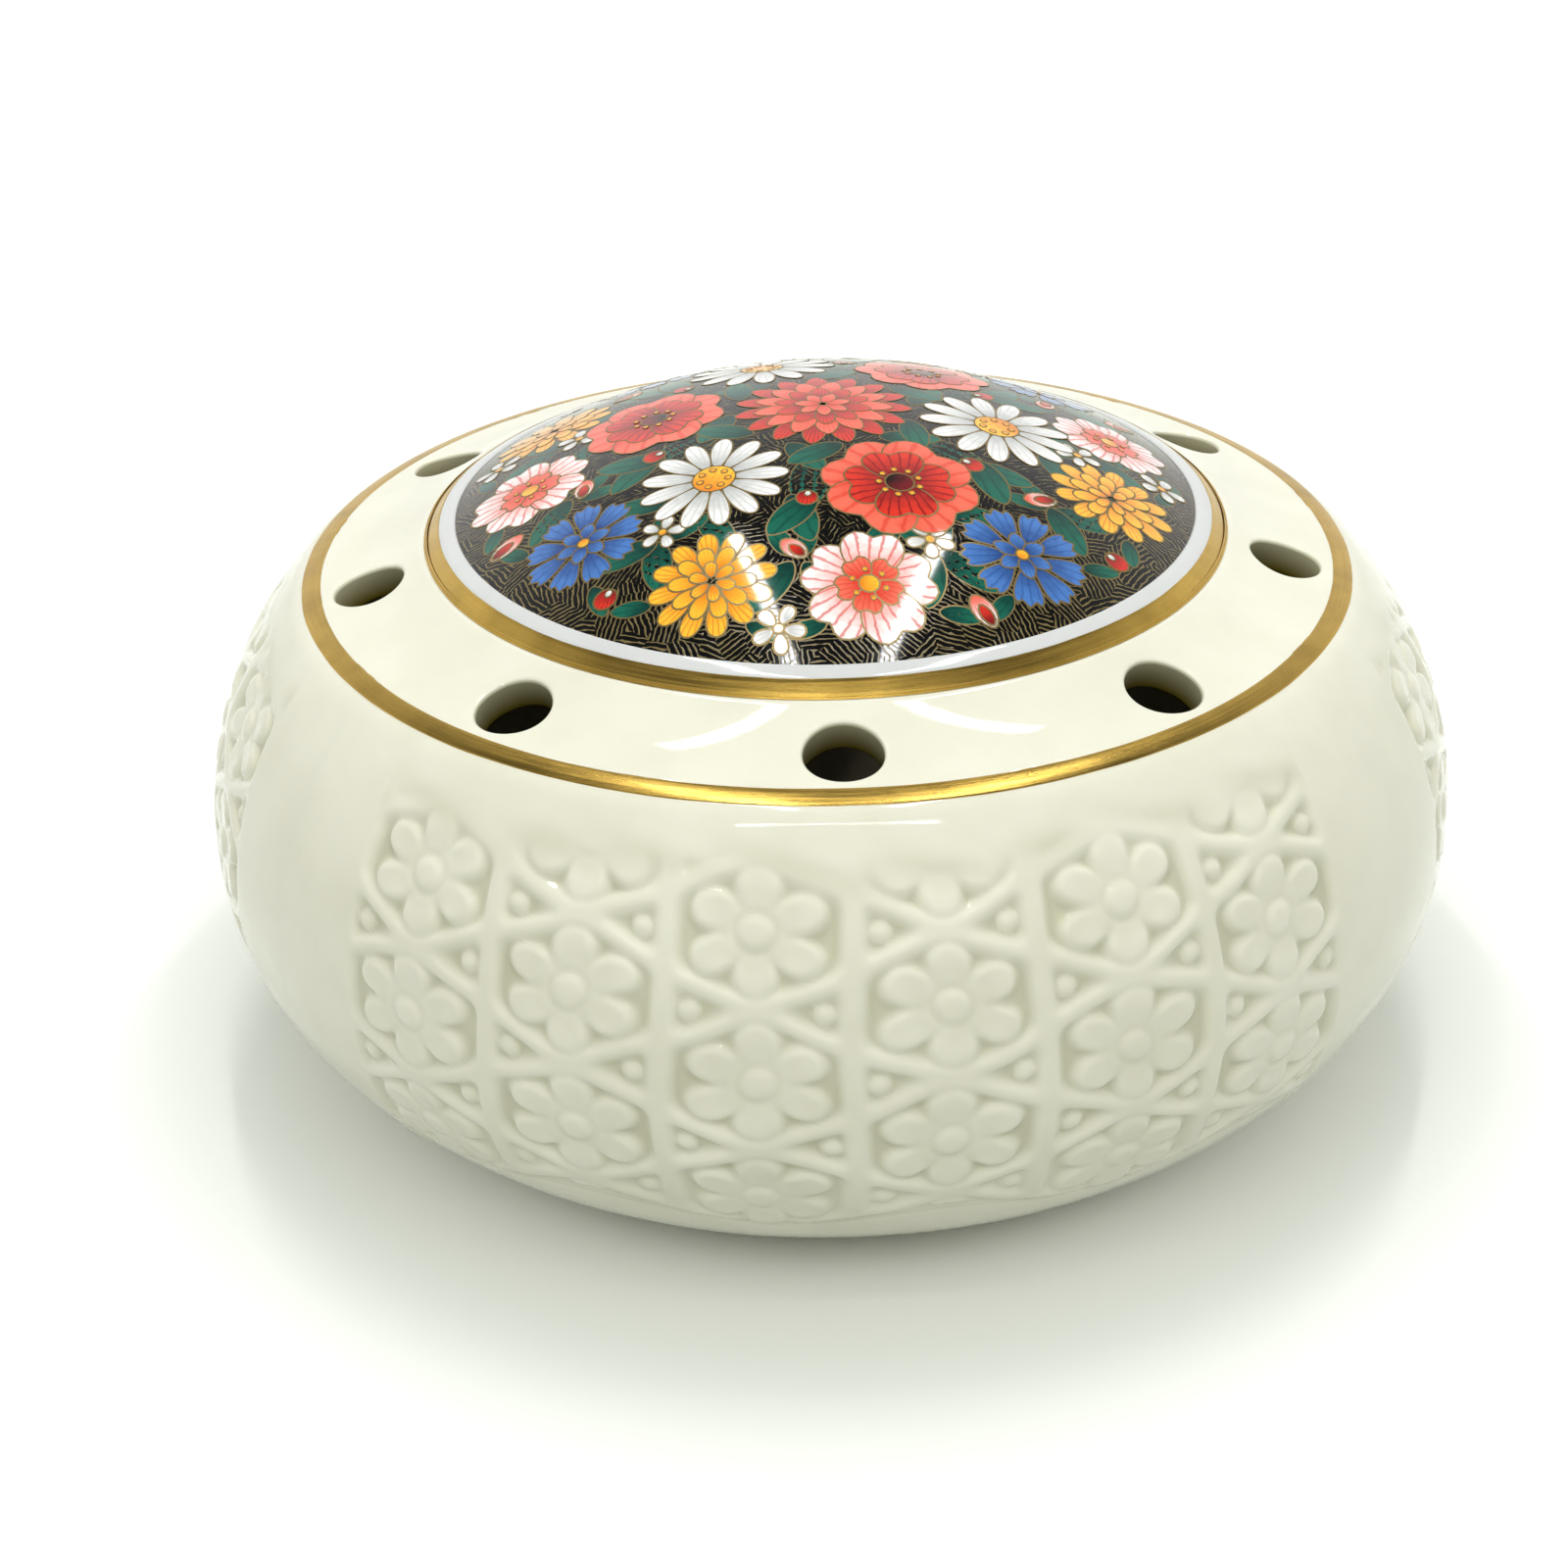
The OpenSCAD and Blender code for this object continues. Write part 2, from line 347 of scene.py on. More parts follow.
def arc(centre, radius, start, end, count):
    """Points on a round edge of a half section, from one angle in degrees to another."""
    return [(centre[0] + radius * math.cos(t), centre[1] + radius * math.sin(t))
            for t in np.radians(np.linspace(start, end, count))]


def move_points(piece, places):
    """Puts the vertices of a piece at new places."""
    piece.data.vertices.foreach_set("co", places.ravel())
    piece.data.update()


def set_value(piece, name, values):
    """A number on each vertex, for the materials to read."""
    attribute = piece.data.attributes.get(name) or piece.data.attributes.new(name, "FLOAT", "POINT")
    attribute.data.foreach_set("value", values)


def smooth(piece, angle):
    """Smooth shading, with edges sharper than the angle left crisp."""
    take(piece)
    bpy.ops.object.shade_smooth_by_angle(angle=math.radians(angle))


def finish_piece(piece, body, slot, material, *nodes):
    """Gives a piece its material, the body it moves with and the nodes it stands for."""
    if material:
        piece.data.materials.clear()
        piece.data.materials.append(material)
    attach(piece, body)
    if nodes:
        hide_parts(*nodes)


def ease(low, high, x):
    """Smooth step from 0 at low to 1 at high."""
    t = np.clip((np.asarray(x, float) - low) / (high - low), 0, 1)
    return t * t * (3 - 2 * t)


def dome(x, reach):
    """Height of a rounded edge, from 0 at x 0 to 1 where x is reach or more."""
    q = np.clip(x / reach, 0, 1)
    return np.sqrt(1 - (1 - q) ** 2)


# The outer shape of the vase

def side_point(s, inset=0.0):
    """Radius and height of the side, s metres up from the belly along its curve, moved in by inset."""
    bowl = bpy.context.scene.vase_bowl
    s = np.asarray(s, float)
    curve = np.where(s >= 0, bowl.upper_curve, bowl.lower_curve)
    return (bowl.body_radius - curve + (curve - inset) * np.cos(s / curve),
            bowl.belly_height + (curve - inset) * np.sin(s / curve))


def side_line(places, inset=0.0):
    """Points of a half section along the side."""
    return list(zip(*side_point(places, inset)))


def cove_z(r, inset=0.0):
    """Height of the shoulder's hollow curve, moved into the porcelain by inset."""
    bowl = bpy.context.scene.vase_bowl
    curve = bowl.cove_curve + inset
    off = np.asarray(r, float) - bowl.cove_radius
    return bowl.cove_height + bowl.cove_curve - np.sqrt(curve ** 2 - off ** 2)


def vent_tilt():
    """Angle by which a vent leans away from upright, at right angles to the shoulder."""
    bowl = bpy.context.scene.vase_bowl
    return math.asin((bowl.cove_radius - bowl.vent_circle) / bowl.cove_curve)


def corner_point(inset=0.0):
    """Where the side's curve meets the shoulder's: radius, height and distance up the side."""
    bowl = bpy.context.scene.vase_bowl
    a = np.array([bowl.body_radius - bowl.upper_curve, bowl.belly_height])
    b = np.array([bowl.cove_radius, bowl.cove_height + bowl.cove_curve])
    ra, rb = bowl.upper_curve - inset, bowl.cove_curve + inset
    gap = np.linalg.norm(b - a)
    u = (b - a) / gap
    k = (gap ** 2 + ra ** 2 - rb ** 2) / (2 * gap)
    r, z = a + u * k + np.array([u[1], -u[0]]) * math.sqrt(ra ** 2 - k ** 2)
    return r, z, math.atan2(z - a[1], r - a[0]) * bowl.upper_curve


def corner_fall(gap):
    """Depth of the rounded corner below the sharp one, at a distance from it along either surface."""
    curve = bpy.context.scene.vase_bowl.corner_round
    x = np.clip(curve * CORNER_REACH - np.asarray(gap, float), 0, curve * CORNER_REACH)
    return curve - np.sqrt(curve ** 2 - x ** 2)


def shoulder_fall(r):
    """Depth of the shoulder below its hollow curve: its rounded edge, and the step under the gilt band."""
    step = TUCK * ease(SHOULDER_OUT - 0.5 * MM, SHOULDER_OUT - 0.2 * MM, r)
    return corner_fall(corner_point()[0] - np.asarray(r, float)) + step


def dome_z(r, sink):
    """Height of the lid's dome, moved down by sink."""
    lid = bpy.context.scene.vase_lid
    rim = lid.slope_top + lid.rim_rise
    rise = lid.top - rim
    ball = (lid.print_radius ** 2 + rise ** 2) / (2 * rise)
    return lid.top - ball + np.sqrt((ball - sink) ** 2 - np.asarray(r, float) ** 2)


# Materials

def set_inputs(tree, node, inputs):
    """Sets inputs of a node, each to a value, to an output or to the first output in use of another node."""
    for key, value in inputs.items():
        if isinstance(value, bpy.types.Node):
            value = next(output for output in value.outputs if output.enabled)
        if isinstance(value, bpy.types.NodeSocket):
            tree.links.new(value, node.inputs[key])
        else:
            node.inputs[key].default_value = value


def add_node(tree, kind, inputs=None, **settings):
    """Adds a shader node with its settings and its inputs."""
    node = tree.nodes.new("ShaderNode" + kind)
    for name, value in settings.items():
        setattr(node, name, value)
    set_inputs(tree, node, inputs or {})
    return node


def start_material(name):
    """A new material: itself, its node tree, its shader and the place on the piece that patterns read."""
    material = bpy.data.materials.new(name)
    material.use_nodes = True
    tree = material.node_tree
    place = add_node(tree, "TexCoord").outputs["Object"]
    return material, tree, tree.nodes["Principled BSDF"], place


def ivory_glaze():
    """Slip-cast porcelain under ivory glaze: glossy, a little cloudy, yellower where the glaze lies thick,
    with painted shade down the vents' walls.
    """
    bowl = bpy.context.scene.vase_bowl
    material, tree, shader, place = start_material("ivory_glazed_porcelain")
    # This value goes from 0 to 1 as glaze gathers in the relief, to 2 down a vent's wall, where it paints
    # shade that darkens deeper in, and is 3 on bare biscuit
    glaze_pool_and_vent_shade = add_node(tree, "Attribute", attribute_name="glaze_pool_and_vent_shade").outputs["Fac"]
    # Clouds about 9 mm wide in the glaze
    cloud = add_node(tree, "TexNoise", {"Vector": place, "Scale": 1 / (9 * MM), "Detail": 3.0})
    tint = add_node(tree, "MapRange", {"Value": cloud, 1: 0.35, 2: 0.75, 3: 0.0, 4: 0.26})
    thick = add_node(tree, "Math", {0: glaze_pool_and_vent_shade, 1: tint}, operation="ADD", use_clamp=True)
    base = add_node(tree, "Mix", {0: thick, 6: bowl.glaze, 7: bowl.pooled}, data_type="RGBA")
    # Painted shade: the vents' walls turn dark brown deeper in
    vent_shade_share = add_node(tree, "Math", {0: glaze_pool_and_vent_shade, 1: 1.0}, operation="SUBTRACT", use_clamp=True)
    wall = add_node(tree, "Mix", {0: vent_shade_share, 6: base, 7: bowl.vent_wall_shade}, data_type="RGBA")
    bare = add_node(tree, "Math", {0: glaze_pool_and_vent_shade, 1: 2.0}, operation="SUBTRACT", use_clamp=True)
    body = add_node(tree, "Mix", {0: bare, 6: wall, 7: bowl.biscuit}, data_type="RGBA")
    # Iron specks 0.2 mm wide, in a few of the 8 mm cells
    cells = add_node(tree, "TexVoronoi", {"Vector": place, "Scale": 1 / (8 * MM)})
    near = add_node(tree, "Math", {0: cells, 1: 0.016}, operation="LESS_THAN")
    pick = add_node(tree, "SeparateColor", {0: cells.outputs["Color"]})
    rare = add_node(tree, "Math", {0: pick, 1: 0.82}, operation="GREATER_THAN")
    speck = add_node(tree, "Math", {0: near, 1: rare}, operation="MULTIPLY")
    shown = add_node(tree, "Mix", {0: speck, 6: body, 7: linear("#8f8466")}, data_type="RGBA")
    # The glaze is a little uneven, like orange peel 1.6 mm wide
    peel = add_node(tree, "TexNoise", {"Vector": place, "Scale": 1 / (1.6 * MM), "Detail": 1.0})
    bump = add_node(tree, "Bump", {"Height": peel, "Strength": 0.15, "Distance": 0.03 * MM})
    gloss = add_node(tree, "MapRange", {"Value": cloud, 1: 0.3, 2: 0.7, 3: 0.03, 4: 0.07})
    # Biscuit is matt
    matt = add_node(tree, "Math", {0: bare, 1: 0.6, 2: gloss}, operation="MULTIPLY_ADD")
    set_inputs(tree, shader, {
        "Base Color": shown, "Normal": bump, "Roughness": matt, "IOR": PORCELAIN_IOR,
        "Subsurface Weight": 0.12, "Subsurface Radius": (1.0, 0.85, 0.55), "Subsurface Scale": 1.2 * MM})
    return material


def white_glaze():
    """White porcelain under clear glaze: cooler and whiter than the bowl, with the same wet gloss."""
    lid = bpy.context.scene.vase_lid
    material, tree, shader, place = start_material("white_glazed_porcelain")
    # Clouds about 7 mm wide
    cloud = add_node(tree, "TexNoise", {"Vector": place, "Scale": 1 / (7 * MM), "Detail": 2.0})
    tint = add_node(tree, "MapRange", {"Value": cloud, 1: 0.4, 2: 0.8, 3: 0.0, 4: 0.5})
    base = add_node(tree, "Mix", {0: tint, 6: lid.white, 7: linear("#d0d3d1")}, data_type="RGBA")
    # Orange peel 1.4 mm wide
    peel = add_node(tree, "TexNoise", {"Vector": place, "Scale": 1 / (1.4 * MM)})
    bump = add_node(tree, "Bump", {"Height": peel, "Strength": 0.2, "Distance": 0.03 * MM})
    set_inputs(tree, shader, {"Base Color": base, "Normal": bump, "Roughness": 0.07, "IOR": PORCELAIN_IOR,
                              "Subsurface Weight": 0.1, "Subsurface Scale": MM})
    return material


def burnished_gold():
    """Gilding fired on and burnished: a soft metal shine with fine strokes along the band and thin spots."""
    gilding = bpy.context.scene.vase_gilding
    material, tree, shader, place = start_material("burnished_gilding")
    axes = add_node(tree, "SeparateXYZ", {0: place}).outputs
    angle = add_node(tree, "Math", {0: axes[1], 1: axes[0]}, operation="ARCTAN2")
    flat = add_node(tree, "VectorMath", {0: place, 1: (1, 1, 0)}, operation="MULTIPLY")
    radius = add_node(tree, "VectorMath", {0: flat}, operation="LENGTH")
    # Strokes run round the axis: 10 mm long (0.2 of a radian) and 0.25 mm wide
    long, wide = 1 / 0.2, 1 / (0.25 * MM)
    turned, out, up = (add_node(tree, "Math", {0: value, 1: per}, operation="MULTIPLY")
                       for value, per in ((angle, long), (radius, wide), (axes[2], wide)))
    strokes = add_node(tree, "CombineXYZ", {0: turned, 1: out, 2: up})
    streak = add_node(tree, "TexNoise", {"Vector": strokes, "Scale": 1.0, "Detail": 2.0})
    # Thin spots about 5 mm wide
    spots = add_node(tree, "TexNoise", {"Vector": place, "Scale": 1 / (5 * MM), "Detail": 2.0})
    thin = add_node(tree, "MapRange", {"Value": spots, 1: 0.4, 2: 0.75, 3: 0.0, 4: 0.4})
    base = add_node(tree, "Mix", {0: thin, 6: gilding.gold, 7: gilding.gold_dark}, data_type="RGBA")
    gloss = add_node(tree, "MapRange", {"Value": streak, 1: 0.3, 2: 0.7, 3: 0.2, 4: 0.34})
    bump = add_node(tree, "Bump", {"Height": streak, "Strength": 0.3, "Distance": 0.02 * MM})
    set_inputs(tree, shader, {"Base Color": base, "Roughness": gloss, "Normal": bump, "Metallic": 1.0})
    return material


def black_print():
    """Black enamel print under gloss, hatched with fine gold strokes that change direction in patches."""
    prints = bpy.context.scene.vase_print
    material, tree, shader, place = start_material("black_printed_enamel")
    axes = add_node(tree, "SeparateXYZ", {0: place}).outputs
    # Patches of strokes about 3 mm wide, each with a direction of its own
    patch = add_node(tree, "TexVoronoi", {"Vector": place, "Scale": 1 / (3 * MM)})
    way = add_node(tree, "SeparateColor", {0: patch.outputs["Color"]})
    angle = add_node(tree, "Math", {0: way, 1: math.pi}, operation="MULTIPLY")
    along_x = add_node(tree, "Math", {0: angle}, operation="COSINE")
    along_y = add_node(tree, "Math", {0: angle}, operation="SINE")
    part_x = add_node(tree, "Math", {0: axes[0], 1: along_x}, operation="MULTIPLY")
    across = add_node(tree, "Math", {0: axes[1], 1: along_y, 2: part_x}, operation="MULTIPLY_ADD")
    # One stroke every 0.5 mm, which wavers over 1.2 mm and breaks off over 0.9 mm
    phase = add_node(tree, "Math", {0: across, 1: 2 * math.pi / (0.5 * MM)}, operation="MULTIPLY")
    waver = add_node(tree, "TexNoise", {"Vector": place, "Scale": 1 / (1.2 * MM)})
    bent = add_node(tree, "Math", {0: waver, 1: 7.0, 2: phase}, operation="MULTIPLY_ADD")
    wave = add_node(tree, "Math", {0: bent}, operation="SINE")
    broken = add_node(tree, "TexNoise", {"Vector": place, "Scale": 1 / (0.9 * MM), "Detail": 2.0})
    level = add_node(tree, "Math", {0: broken, 1: 1.6, 2: wave}, operation="MULTIPLY_ADD")
    # Strokes are fewer inside than near the edge
    flat = add_node(tree, "VectorMath", {0: place, 1: (1, 1, 0)}, operation="MULTIPLY")
    reach = add_node(tree, "VectorMath", {0: flat}, operation="LENGTH")
    thin = add_node(tree, "MapRange", {"Value": reach, 1: 26 * MM, 2: 34 * MM, 3: 0.3, 4: 0.0})
    kept = add_node(tree, "Math", {0: level, 1: thin}, operation="SUBTRACT")
    stroke = add_node(tree, "MapRange", {"Value": kept, 1: 1.3, 2: 1.6, 3: 0.0, 4: 0.85})
    base = add_node(tree, "Mix", {0: stroke, 6: prints.ground, 7: prints.gold_line}, data_type="RGBA")
    gloss = add_node(tree, "MapRange", {"Value": stroke, 1: 0.0, 2: 1.0, 3: 0.05, 4: 0.2})
    bump = add_node(tree, "Bump", {"Height": stroke, "Strength": 0.3, "Distance": 0.02 * MM})
    set_inputs(tree, shader, {"Base Color": base, "Roughness": gloss, "Normal": bump})
    return material


def petal_print(name, base_colour, tip_colour, vein_colour, veins, vein_share):
    """Enamel petals: shaded from base to tip, with fine veins that fan out, under the same gloss."""
    material, tree, shader, place = start_material(name)
    petal = add_node(tree, "Attribute", attribute_name="petal").outputs["Vector"]
    axes = add_node(tree, "SeparateXYZ", {0: petal}).outputs
    # Brush marks about 1 mm wide
    brush = add_node(tree, "TexNoise", {"Vector": place, "Scale": 1 / MM, "Detail": 3.0})
    rough_edge = add_node(tree, "Math", {0: brush, 1: 0.5, 2: axes[1]}, operation="MULTIPLY_ADD")
    shade = add_node(tree, "MapRange", {"Value": rough_edge, 1: 0.35, 2: 1.0})
    body = add_node(tree, "Mix", {0: shade, 6: base_colour, 7: tip_colour}, data_type="RGBA")
    root = add_node(tree, "Math", {0: axes[1], 1: 0.4}, operation="ADD")
    fan = add_node(tree, "Math", {0: axes[0], 1: root}, operation="DIVIDE")
    swing = add_node(tree, "Math", {0: fan, 1: veins * math.pi}, operation="MULTIPLY")
    loose = add_node(tree, "Math", {0: brush, 1: 3.0, 2: swing}, operation="MULTIPLY_ADD")
    wave = add_node(tree, "Math", {0: loose}, operation="COSINE")
    line = add_node(tree, "MapRange", {"Value": wave, 1: 0.55, 2: 0.95, 3: 0.0, 4: vein_share})
    base = add_node(tree, "Mix", {0: line, 6: body, 7: vein_colour}, data_type="RGBA")
    set_inputs(tree, shader, {"Base Color": base, "Roughness": 0.06})
    return material


def gold_print():
    """Fine printed gold line: a dull warm metal, duller than the burnished bands."""
    prints = bpy.context.scene.vase_print
    material, tree, shader, place = start_material("printed_gold_line")
    # Grain 0.6 mm wide
    grain = add_node(tree, "TexNoise", {"Vector": place, "Scale": 1 / (0.6 * MM)})
    base = add_node(tree, "Mix", {0: grain, 6: prints.gold_line, 7: linear("#8d7440")}, data_type="RGBA")
    set_inputs(tree, shader, {"Base Color": base, "Metallic": 0.5, "Roughness": 0.32})
    return material


# Bowl

def vent_rings():
    """Rings of points of one vent's share of the shoulder: its underside, the vent's wall and its top."""
    bowl = bpy.context.scene.vase_bowl
    half = math.pi / bowl.vent_count
    wide, tall = VENT_STEPS, 16
    steps = 2 * (wide + tall)
    # The border, walked from the middle of its outer edge: place across and place out, each from -1 to 1
    walk = np.concatenate([
        np.stack([np.linspace(0, 1, wide // 2 + 1)[:-1], np.ones(wide // 2)], 1),
        np.stack([np.ones(tall), np.linspace(1, -1, tall + 1)[:-1]], 1),
        np.stack([np.linspace(1, -1, wide + 1)[:-1], -np.ones(wide)], 1),
        np.stack([-np.ones(tall), np.linspace(-1, 1, tall + 1)[:-1]], 1),
        np.stack([np.linspace(-1, 0, wide // 2 + 1)[:-1], np.ones(wide // 2)], 1)])
    turns = np.linspace(0, 2 * np.pi, steps + 1)[:-1]
    centre = np.array([bowl.cove_radius, bowl.cove_height + bowl.cove_curve])
    tilt = vent_tilt()
    axis = np.array([math.sin(tilt), math.cos(tilt)])
    down = np.array([math.cos(tilt), -math.sin(tilt)])
    middle = centre - axis * bowl.cove_curve

    def bore(radius, curve, depth):
        """A ring round the vent's axis, on the shell of that curve, sunk by depth along the axis."""
        plan = middle + radius * np.cos(turns)[:, None] * down
        sideways = radius * np.sin(turns)
        lift = np.zeros(steps)
        for _ in range(6):
            now = plan + lift[:, None] * axis
            r = np.hypot(now[:, 0], sideways)
            lift += np.hypot(r - centre[0], now[:, 1] - centre[1]) - curve
        now = plan + (lift - depth)[:, None] * axis
        return np.stack([sideways, -now[:, 0], now[:, 1]], 1)

    def spread(ring, curve, low, high, share):
        """A ring between the vent's edge and the border of its share of the shoulder."""
        r0, a0 = polar(ring)
        r1 = (low + high) / 2 + walk[:, 1] * (high - low) / 2
        a1 = walk[:, 0] * half
        r, a = r0 + (r1 - r0) * share, a0 + (a1 - a0) * share
        tuck = shoulder_fall(r) if curve == bowl.cove_curve else 0
        z = centre[1] - np.sqrt(curve ** 2 - (r - centre[0]) ** 2) - tuck
        return np.stack([r * np.sin(a), -r * np.cos(a), z], 1)

    rings = []
    outer, inner = bowl.cove_curve, bowl.cove_curve + bowl.wall
    low_edge = bore(bowl.vent_radius + bowl.vent_round, inner, 0)
    for share in np.linspace(1, 0, 7):
        rings.append(spread(low_edge, inner, SHOULDER_IN, UNDER_OUT, share))
    for bend in np.linspace(0, math.pi / 2, 6)[1:]:
        swell = bowl.vent_round * (1 - math.sin(bend))
        rings.append(bore(bowl.vent_radius + swell, inner, -bowl.vent_round * (1 - math.cos(bend))))
    for bend in np.linspace(math.pi / 2, 0, 8):
        swell = bowl.vent_round * (1 - math.sin(bend))
        rings.append(bore(bowl.vent_radius + swell, outer, bowl.vent_round * (1 - math.cos(bend))))
    top_edge = rings[-1]
    for share in np.linspace(0, 1, 15)[1:]:
        rings.append(spread(top_edge, outer, SHOULDER_IN, SHOULDER_OUT, share ** 1.15))
    return rings


class VASE_OT_bowl(bpy.types.Operator):
    """Models the bowl: pierced shoulder, mouth, inside and foot"""
    bl_idname = "vase.bowl"
    bl_label = "Bowl"

    def execute(self, context):
        bowl = context.scene.vase_bowl
        sector = loft("vent_sector", vent_rings())
        share = 2 * math.pi / bowl.vent_count
        sectors = [sector] + [copy_of(sector, "vent_sector_copy", Matrix.Rotation(share * k, 4, "Z"))
                              for k in range(1, bowl.vent_count)]
        floor = bowl.belly_height - bowl.lower_curve
        under = bowl.seat_height - bowl.wall
        # Mouth: from the shoulder down to the lid's seat, round the lip and back underneath
        lip, seat_r, seat_z = 0.5 * MM, 41.28 * MM, bowl.seat_height
        lip_r = bowl.mouth_radius + lip
        mouth = [(SHOULDER_IN, cove_z(SHOULDER_IN)), (seat_r, seat_z), (lip_r + 3 * MM, seat_z),
                 (lip_r, seat_z)]
        mouth += arc((lip_r, seat_z - lip), lip, 90, 180, 6)[1:]
        mouth += arc((lip_r, under + lip), lip, 180, 270, 6)
        mouth += [(SHOULDER_IN - MM, under)]
        mouth += [(r, cove_z(r, bowl.wall)) for r in (SHOULDER_IN - 0.6 * MM, SHOULDER_IN)]
        # Inside: the corner under the shoulder, the side and the floor
        fall = np.linspace(corner_point(bowl.wall)[2] - 0.6 * MM, -bowl.lower_curve * math.pi / 2, 44)
        inside = [(UNDER_OUT, cove_z(UNDER_OUT, bowl.wall))] + side_line(fall, bowl.wall)
        inside += [(r, floor + bowl.wall) for r in (30 * MM, 20 * MM, 10 * MM, 0)]
        # Hidden behind the relief panels, then the underside and the foot ring
        back = 1.85 * MM
        rim_z = cove_z(SHOULDER_OUT) - shoulder_fall(SHOULDER_OUT)
        hidden = [(SHOULDER_OUT, rim_z), (SHOULDER_OUT + 0.4 * MM, rim_z - 0.6 * MM)]
        hidden += side_line(np.linspace(corner_point(back)[2], -bowl.lower_curve * 1.5, 24), back)
        foot_in, turned = bowl.foot_radius - bowl.foot_width, 0.9 * MM
        hidden += [(bowl.body_radius - bowl.lower_curve, floor), (bowl.foot_radius + MM, floor),
                   (bowl.foot_radius, floor - 0.6 * MM)]
        hidden += arc((bowl.foot_radius - turned, turned), turned, 0, -90, 6)
        hidden += arc((foot_in + turned, turned), turned, -90, -180, 6)
        hidden += [(foot_in, floor - 0.5 * MM), (foot_in - 0.8 * MM, floor), (20 * MM, floor), (0, floor)]
        skins = [spin_round(name, points, VENT_STEPS * bowl.vent_count)
                 for name, points in (("mouth", mouth), ("inside", inside), ("hidden", hidden))]
        piece = join(sectors + skins, "bowl_body")
        close_up(piece, 0.01 * MM)
        # The vents' walls, by their distance from a vent's axis, which get painted shade
        places = points_of(piece)
        r, a = polar(places)
        across = (a - share * np.round(a / share)) * r
        depth = cove_z(np.clip(r, 38 * MM, 55 * MM)) - places[:, 2]
        out = r - bowl.vent_circle + depth * math.tan(vent_tilt())
        in_vent = np.hypot(across, out) < bowl.vent_radius + bowl.vent_round * 1.1
        in_vent &= (depth > 0.15 * MM) & (depth < 6 * MM)
        # The inside is bare biscuit
        lower_r = bowl.body_radius - bowl.lower_curve
        reach = np.hypot(r - lower_r, places[:, 2] - bowl.belly_height)
        bare = (places[:, 2] < under + 0.3 * MM) & (places[:, 2] > floor + 0.5 * bowl.wall) & (depth > 2 * MM)
        bare &= ((reach < bowl.upper_curve) | (r < lower_r)) & ~in_vent
        # Painted shade down the vents, from 0.8 at the rim to 2 at 0.9 mm deep
        set_value(piece, "glaze_pool_and_vent_shade", np.where(in_vent, 0.8 + 1.2 * ease(0, 0.9 * MM, depth), 3.0 * bare))
        smooth(piece, 60)
        finish_piece(piece, "vase_bowl", "ivory_porcelain", ivory_glaze(), "bowl", "shoulder")
        return {"FINISHED"}


